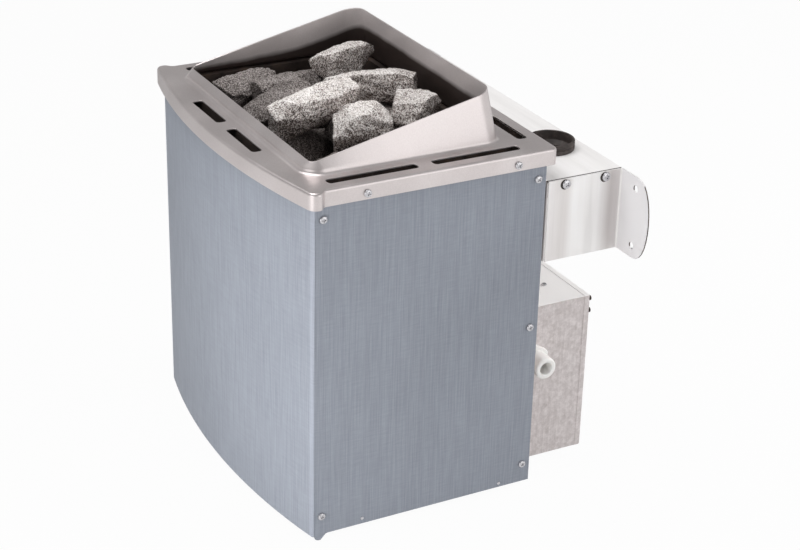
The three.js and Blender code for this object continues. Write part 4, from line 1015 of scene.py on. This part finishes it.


# Screws: one cross-recessed head shared by all, with dark rings on the wings as painted shadow
screw = {
    "head": 4.2, "height": 2.6, "dome": 1.3, "domeSteps": 8, "domeCurve": 0.8, "tip": 0.05, "shank": 2.0,
    "shankLength": 5.5, "recess": 2.3, "slot": 0.55, "depth": 1.5, "edges": 32, "sharp": 35,
    "wingWiden": 1.22, "spin": 0.7,
}
shadowRing = {"seat": 201, "bore": 2.4, "radius": 5.7, "thick": 0.5, "forward": 1.3, "down": 0.3, "edges": 40}
boxScrew = {
    "top": (123.4, 325.8, 200.6), "topWiden": 0.7, "spin": 0.9,
    "backY": 359.6, "back": ((164.8, 196), (164.8, 181), (150, 20)), "backWiden": 0.74,  # back: (x, z)
}


def headProfile():
    under, shank, head = -screw["height"], screw["shank"], screw["head"]
    profile = [(shank, under - screw["shankLength"]), (shank, under), (head - 0.15, under)]
    profile += [(head, under + 0.2), (head, -screw["dome"] - 0.1)]  # eased corners under the dome
    for i in range(1, screw["domeSteps"]):
        turn = math.radians(90 * i / screw["domeSteps"])
        profile.append((head * math.cos(turn) ** screw["domeCurve"], -screw["dome"] * (1 - math.sin(turn))))
    return profile + [(screw["tip"], 0)]


def makeScrewMesh():
    bm = bmesh.new()
    turned(bm, headProfile(), Vector((0, 0, 0)), (0, 0, 1), screw["edges"], False)
    head = placeBlank("screw_head_blank", meshFrom(bm, "screw_head_blank"))
    bm = bmesh.new()
    a, b = screw["slot"], screw["recess"]
    cross = [(a, a), (a, b), (-a, b), (-a, a), (-b, a), (-b, -a)]
    cross += [(-x, -y) for x, y in cross]
    prism(bm, cross, -screw["depth"], 1.0, lambda x, y, z: Vector((x, y, z)) * mm)
    tool = placeBlank("screw_recess_tool", meshFrom(bm, "screw_recess_tool"))
    cut = head.modifiers.new("recess", "BOOLEAN")
    cut.operation = "DIFFERENCE"
    cut.object = tool
    cut.solver = "EXACT"
    mesh = shapedMesh(head)
    bpy.data.objects.remove(tool)
    mesh.name = "screw_head"
    finishMesh(mesh, screwZinc, screw["sharp"])
    return mesh


def makeShadowRing(name, at, side):  # a dark rubber ring a little forward under the head: a painted shadow crescent round the screw
    y, z = at.y / mm - fold["y"] - shadowRing["forward"], at.z / mm - fold["z"] - shadowRing["down"]
    profile = [(shadowRing["bore"], 0), (shadowRing["radius"], 0), (shadowRing["radius"], shadowRing["thick"] - 0.2)]
    profile += [(shadowRing["radius"] - 0.3, shadowRing["thick"]), (shadowRing["bore"], shadowRing["thick"])]
    bm = bmesh.new()
    turned(bm, profile, spot(side * shadowRing["seat"], y, z), (side, 0, 0), shadowRing["edges"])
    finishPiece(name, bm, rubber)


screwMesh = makeScrewMesh()
screwNodes = sorted(name for name in nodes if "_screw_" in name)
for index, name in enumerate(screwNodes):
    low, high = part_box(name)
    side = 1 if low.x > 0 else -1
    at = Vector((high.x if side > 0 else low.x, (low.y + high.y) / 2, (low.z + high.z) / 2))
    onWing = name.startswith("wing")
    widen = screw["wingWiden"] if onWing else 1.0
    spin = screw["spin"] * index
    placeShared(name + "_head", screwMesh, at, (side, 0, 0), spin, (name,), widen)
    if onWing:
        makeShadowRing(name + "_shadow_ring", at, side)
darkScrewMesh = screwMesh.copy()
darkScrewMesh.name = "dark_screw_head"
darkScrewMesh.materials[0] = scaledSteel
x, y, z = boxScrew["top"]
boxPlaces = [(spot(side * x, y, z), (0, 0, 1), screwMesh, boxScrew["topWiden"]) for side in (1, -1)]
for x, z in boxScrew["back"]:
    for side in (-1, 1):
        place = spot(side * x, boxScrew["backY"], z)
        boxPlaces.append((place, (0, 1, 0), darkScrewMesh, boxScrew["backWiden"]))
for index, (place, axis, mesh, widen) in enumerate(boxPlaces):
    at = place + Vector(axis) * screw["height"] * mm
    placeShared(f"box_screw_{index + 1}", mesh, at, axis, boxScrew["spin"] * index, (), widen)

# Rivets along the lower edge of each side panel
rivet = {
    "places": ((59.3, 8.2), (231, 6.4)), "edges": 24,
    "profile": ((1.2, -1.0), (2.0, 0.0), (2.0, 0.15), (1.8, 0.55), (1.3, 0.85), (0.6, 1.0)),
}
rivetBm = bmesh.new()
turned(rivetBm, rivet["profile"], Vector((0, 0, 0)), (0, 0, 1), rivet["edges"], False)
rivetMesh = meshFrom(rivetBm, "rivet_head")
rivetMesh.materials.append(screwZinc)
rivetMesh.shade_smooth()
for sideName, sideSign in sides:
    for index, (y, z) in enumerate(rivet["places"]):
        at = spot(sideSign * casing["half"], y, z)
        placeShared(f"rivet_{sideName}_{index + 1}", rivetMesh, at, (sideSign, 0, 0), 0)
print("screws made:", len(screwNodes), "with rivets and box screws")


# Wall bracket: the solids with a tight fold at the ears, a seam along the plate and returns in front
bracket = {
    "bendX": 216, "bendY": 349.7, "tighter": 13, "plateHalf": 198.7, "lip": 3, "seam": 1.0,
    "plateEdge": 0.3, "wingEdge": 0.35, "shadedSideFrom": 190, "earFrom": 205, "earEdgeFrom": 224,
    "return": {"x": (178, 199), "y": (272.4, 273.6), "z": (272.7, 363.5)},
}


def tightenFold(bm):  # the solid's wide bend drawn into the corner
    for vert in bm.verts:
        x, y = abs(vert.co.x) / mm, vert.co.y / mm - fold["y"]
        dx, dy = bracket["bendX"] - x, y - bracket["bendY"]
        if dx < -0.01 or dy < -0.01:
            continue
        reach = math.hypot(dx, dy)
        share = (reach - bracket["tighter"]) / reach
        vert.co.x = math.copysign(bracket["bendX"] - bracket["tighter"] - dx * share, vert.co.x) * mm
        vert.co.y = (bracket["bendY"] + bracket["tighter"] + dy * share + fold["y"]) * mm


def openSeam(bm):  # the plate's side lips move in, short of the wings
    for vert in bm.verts:
        if abs(vert.co.x) > (bracket["plateHalf"] - bracket["lip"]) * mm:
            vert.co.x -= math.copysign(bracket["seam"] * mm, vert.co.x)


def makeReturns():
    (x0, x1), (y0, y1), (z0, z1) = (bracket["return"][key] for key in "xyz")
    for name, side in sides:
        bm = bmesh.new()
        corners = [(side * x, y) for x, y in ((x0, y0), (x1, y0), (x1, y1), (x0, y1))]
        prism(bm, corners, z0, z1, spot)
        finishPiece(f"bracket_return_{name}", bm, bracketSteel)


plate = dress("bracket_top_plate", bracketSteel, bracket["plateEdge"], openSeam)
plate.data.materials.append(scaledSteel)
for face in plate.data.polygons:  # painted shade: the plate's sides by the wings are dark, for the shaded seam
    if abs(face.normal.x) > 0.9 and abs(face.center.x) > bracket["shadedSideFrom"] * mm:
        face.material_index = 1
for sideName, _ in sides:
    wing = dress("bracket_wing_" + sideName, wingPaintedLightSteel, bracket["wingEdge"], tightenFold)
    wing.data.materials.append(earPaintedShadeSteel)
    wing.data.materials.append(scaledSteel)
    for face in wing.data.polygons:  # painted shade: the ears take darker tones, and their cut edge is painted dark
        out = abs(face.center.x) / mm
        if out > bracket["earEdgeFrom"] and abs(face.normal.y) < 0.3 and face.normal.z < 0.7:
            face.material_index = 2
        elif out > bracket["earFrom"]:
            face.material_index = 1
makeReturns()
print("bracket made")


# Terminal box, and its cover: a thin tray pushed over the back of the box
cover = {
    "half": 167.35, "low": 7.05, "high": 200.95, "front": 352.6, "back": 359.6, "sheet": 0.3,
    "corner": 1.5, "cornerSteps": (5, 2), "round": 1.2, "roundSteps": 5, "boxEdge": 0.7,
}


def makeCover():
    back, sheet = cover["back"], cover["sheet"]
    levels = [(sheet, back - sheet), (sheet, cover["front"]), (0, cover["front"])]  # inset and y of each loop
    levels += [(cover["round"] * a, back - cover["round"] * b) for a, b in quarterRound(cover["roundSteps"])]
    loops = []
    for inset, y in levels:
        half, low, high = cover["half"] - inset, cover["low"] + inset, cover["high"] - inset
        outline = roundBox(-half, half, low, high, (cover["corner"],) * 2, *cover["cornerSteps"])
        loops.append([spot(x, y, z) for x, z in outline])
    bm = bmesh.new()
    skinSolid(bm, loops)
    finishPiece("terminal_box_cover_tray", bm, galvanised, ("terminal_box_cover",))


makeCover()
dress("terminal_box", galvanised, cover["boxEdge"])
print("terminal box made")


# Parts kept from the solids
# the heat shield takes the dark heat-scaled steel as painted shade, keeping the vents dark
coats = {
    "rear_panel": galvanised, "base_plate": galvanised, "stone_well": scaledSteel, "stone_grate": scaledSteel,
    "element_carrier": scaledSteel, "heat_shield": scaledSteel, "terminal_block": steatite,
    "gland_lock_nut": polyamide, "wire_loom_left": glassSleeve, "wire_loom_right": glassSleeve,
}
for name, material in coats.items():
    coat(name, material)
nodes["rear_panel"].data.materials.append(scaledSteel)
for face in nodes["rear_panel"].data.polygons:  # its inside is blackened by the heat
    if face.normal.y < -0.5:
        face.material_index = 1
print("kept parts coated:", len(coats))


# Floor and light, in metres: a footprint's middle and half width, a lamp's place, width and watts
studio = {
    "floorTone": "#BCBCBC", "floorGlow": 0.965, "floorHalf": 20, "floorLevel": -0.0005,
    "footprint": {"X": (0, 0.165), "Y": (-0.035, 0.11)},
    "glossFar": (-1.15, 0.22), "glossNear": (-0.3, 0.84), "horizon": 0.86, "zenith": 0.285, "dimFrom": 0.22,
    "aim": (0, 0, 0.25),
}
lamps = {  # metal mirrors only the glossy ones
    "key": {"at": (0.34, -0.66, 0.03), "size": 0.7, "power": 4.4, "glossy": False},
    "glint": {"at": (0.45, -0.95, 0.35), "size": 0.9, "power": 2.2, "glossy": True},
    "side": {"at": (1.8, 0.8, 0.85), "size": 1.8, "power": 8.5, "glossy": True},
    "back": {"at": (0.35, 1.8, 1.2), "size": 1.2, "power": 28, "glossy": False},
    "top": {"at": (-0.15, -0.5, 1.95), "size": 1.4, "power": 18, "glossy": True},
}


def makeFloorPaint():
    # matte white floor paint: grey under the lamps and white to the eye, so that it keeps the shadow's trace;
    # to metal it glows, less to the left, as a painted reflection
    material = bpy.data.materials.new("paleStudioFloor")
    material.use_nodes = True
    tree = material.node_tree
    tree.nodes.remove(tree.nodes["Principled BSDF"])
    path = addNode(tree, "LightPath")
    seen = addNode(tree, "Math", {
        0: path.outputs["Is Camera Ray"], 1: path.outputs["Is Transmission Ray"],
    }, operation="MAXIMUM")
    coords = addNode(tree, "TexCoord").outputs["Object"]
    place = addNode(tree, "SeparateXYZ", {"Vector": coords})
    shares = []
    for axis, (middle, half) in studio["footprint"].items():  # 1 at the covered ground's edge
        away = addNode(tree, "Math", {0: place.outputs[axis], 1: middle}, operation="SUBTRACT")
        size = addNode(tree, "Math", {0: away}, operation="ABSOLUTE")
        shares.append(addNode(tree, "Math", {0: size, 1: half}, operation="DIVIDE"))
    widest = addNode(tree, "Math", {0: shares[0], 1: shares[1]}, operation="MAXIMUM")
    uncovered = addNode(tree, "Math", {0: widest, 1: 1.0}, operation="GREATER_THAN")
    lit = addNode(tree, "Math", {0: uncovered, 1: studio["floorGlow"]}, operation="MULTIPLY")
    glowing = addNode(tree, "Math", {0: seen, 1: lit}, operation="MULTIPLY")
    (farX, farGlow), (nearX, nearGlow) = studio["glossFar"], studio["glossNear"]
    paintedReflection = addNode(tree, "MapRange", {
        "Value": place.outputs["X"], "From Min": farX, "From Max": nearX,
        "To Min": farGlow, "To Max": nearGlow,
    })  # painted reflection: metal sees the floor glow less to the left
    glossy = addNode(tree, "Math", {0: path.outputs["Is Glossy Ray"], 1: paintedReflection}, operation="MULTIPLY")
    glow = addNode(tree, "Math", {0: glowing, 1: glossy}, operation="MAXIMUM")
    matte = addNode(tree, "BsdfDiffuse", {"Color": linear(studio["floorTone"])})
    white = addNode(tree, "Emission", {"Color": (1, 1, 1, 1), "Strength": 1.0})
    mixed = addNode(tree, "MixShader", {"Fac": glow, 1: matte, 2: white})
    setInputs(tree, tree.nodes["Material Output"], {"Surface": mixed})
    return material


def makeFloor():
    bm = bmesh.new()
    bmesh.ops.create_grid(bm, x_segments=1, y_segments=1, size=studio["floorHalf"])
    floor = placeBlank("floor", meshFrom(bm, "floor"))
    floor.data.materials.append(makeFloorPaint())
    floor.location = (0, 0, studio["floorLevel"])


def makeWorld():
    world = bpy.data.worlds.new("studio")
    scene.world = world
    world.use_nodes = True
    tree = world.node_tree
    direction = addNode(tree, "TexCoord").outputs["Generated"]
    height = addNode(tree, "SeparateXYZ", {"Vector": direction})
    level = addNode(tree, "MapRange", {
        "Value": height.outputs["Z"], "From Min": 0.0, "From Max": studio["dimFrom"],
        "To Min": studio["horizon"], "To Max": studio["zenith"],
    })
    setInputs(tree, tree.nodes["Background"], {"Color": (1, 1, 1, 1), "Strength": level})


def makeLamp(name, lamp):
    data = bpy.data.lights.new(name, "AREA")
    data.shape = "DISK"
    data.size = lamp["size"]
    data.energy = lamp["power"]
    lampObject = bpy.data.objects.new(name, data)
    at = Vector(lamp["at"])
    aim = Vector(studio["aim"]) - at
    lampObject.matrix_world = Matrix.Translation(at) @ aim.to_track_quat("-Z", "Y").to_matrix().to_4x4()
    lampObject.visible_glossy = lamp["glossy"]
    scene.collection.objects.link(lampObject)


makeFloor()
makeWorld()
for lampName, lamp in lamps.items():
    makeLamp(lampName, lamp)
print("studio made")
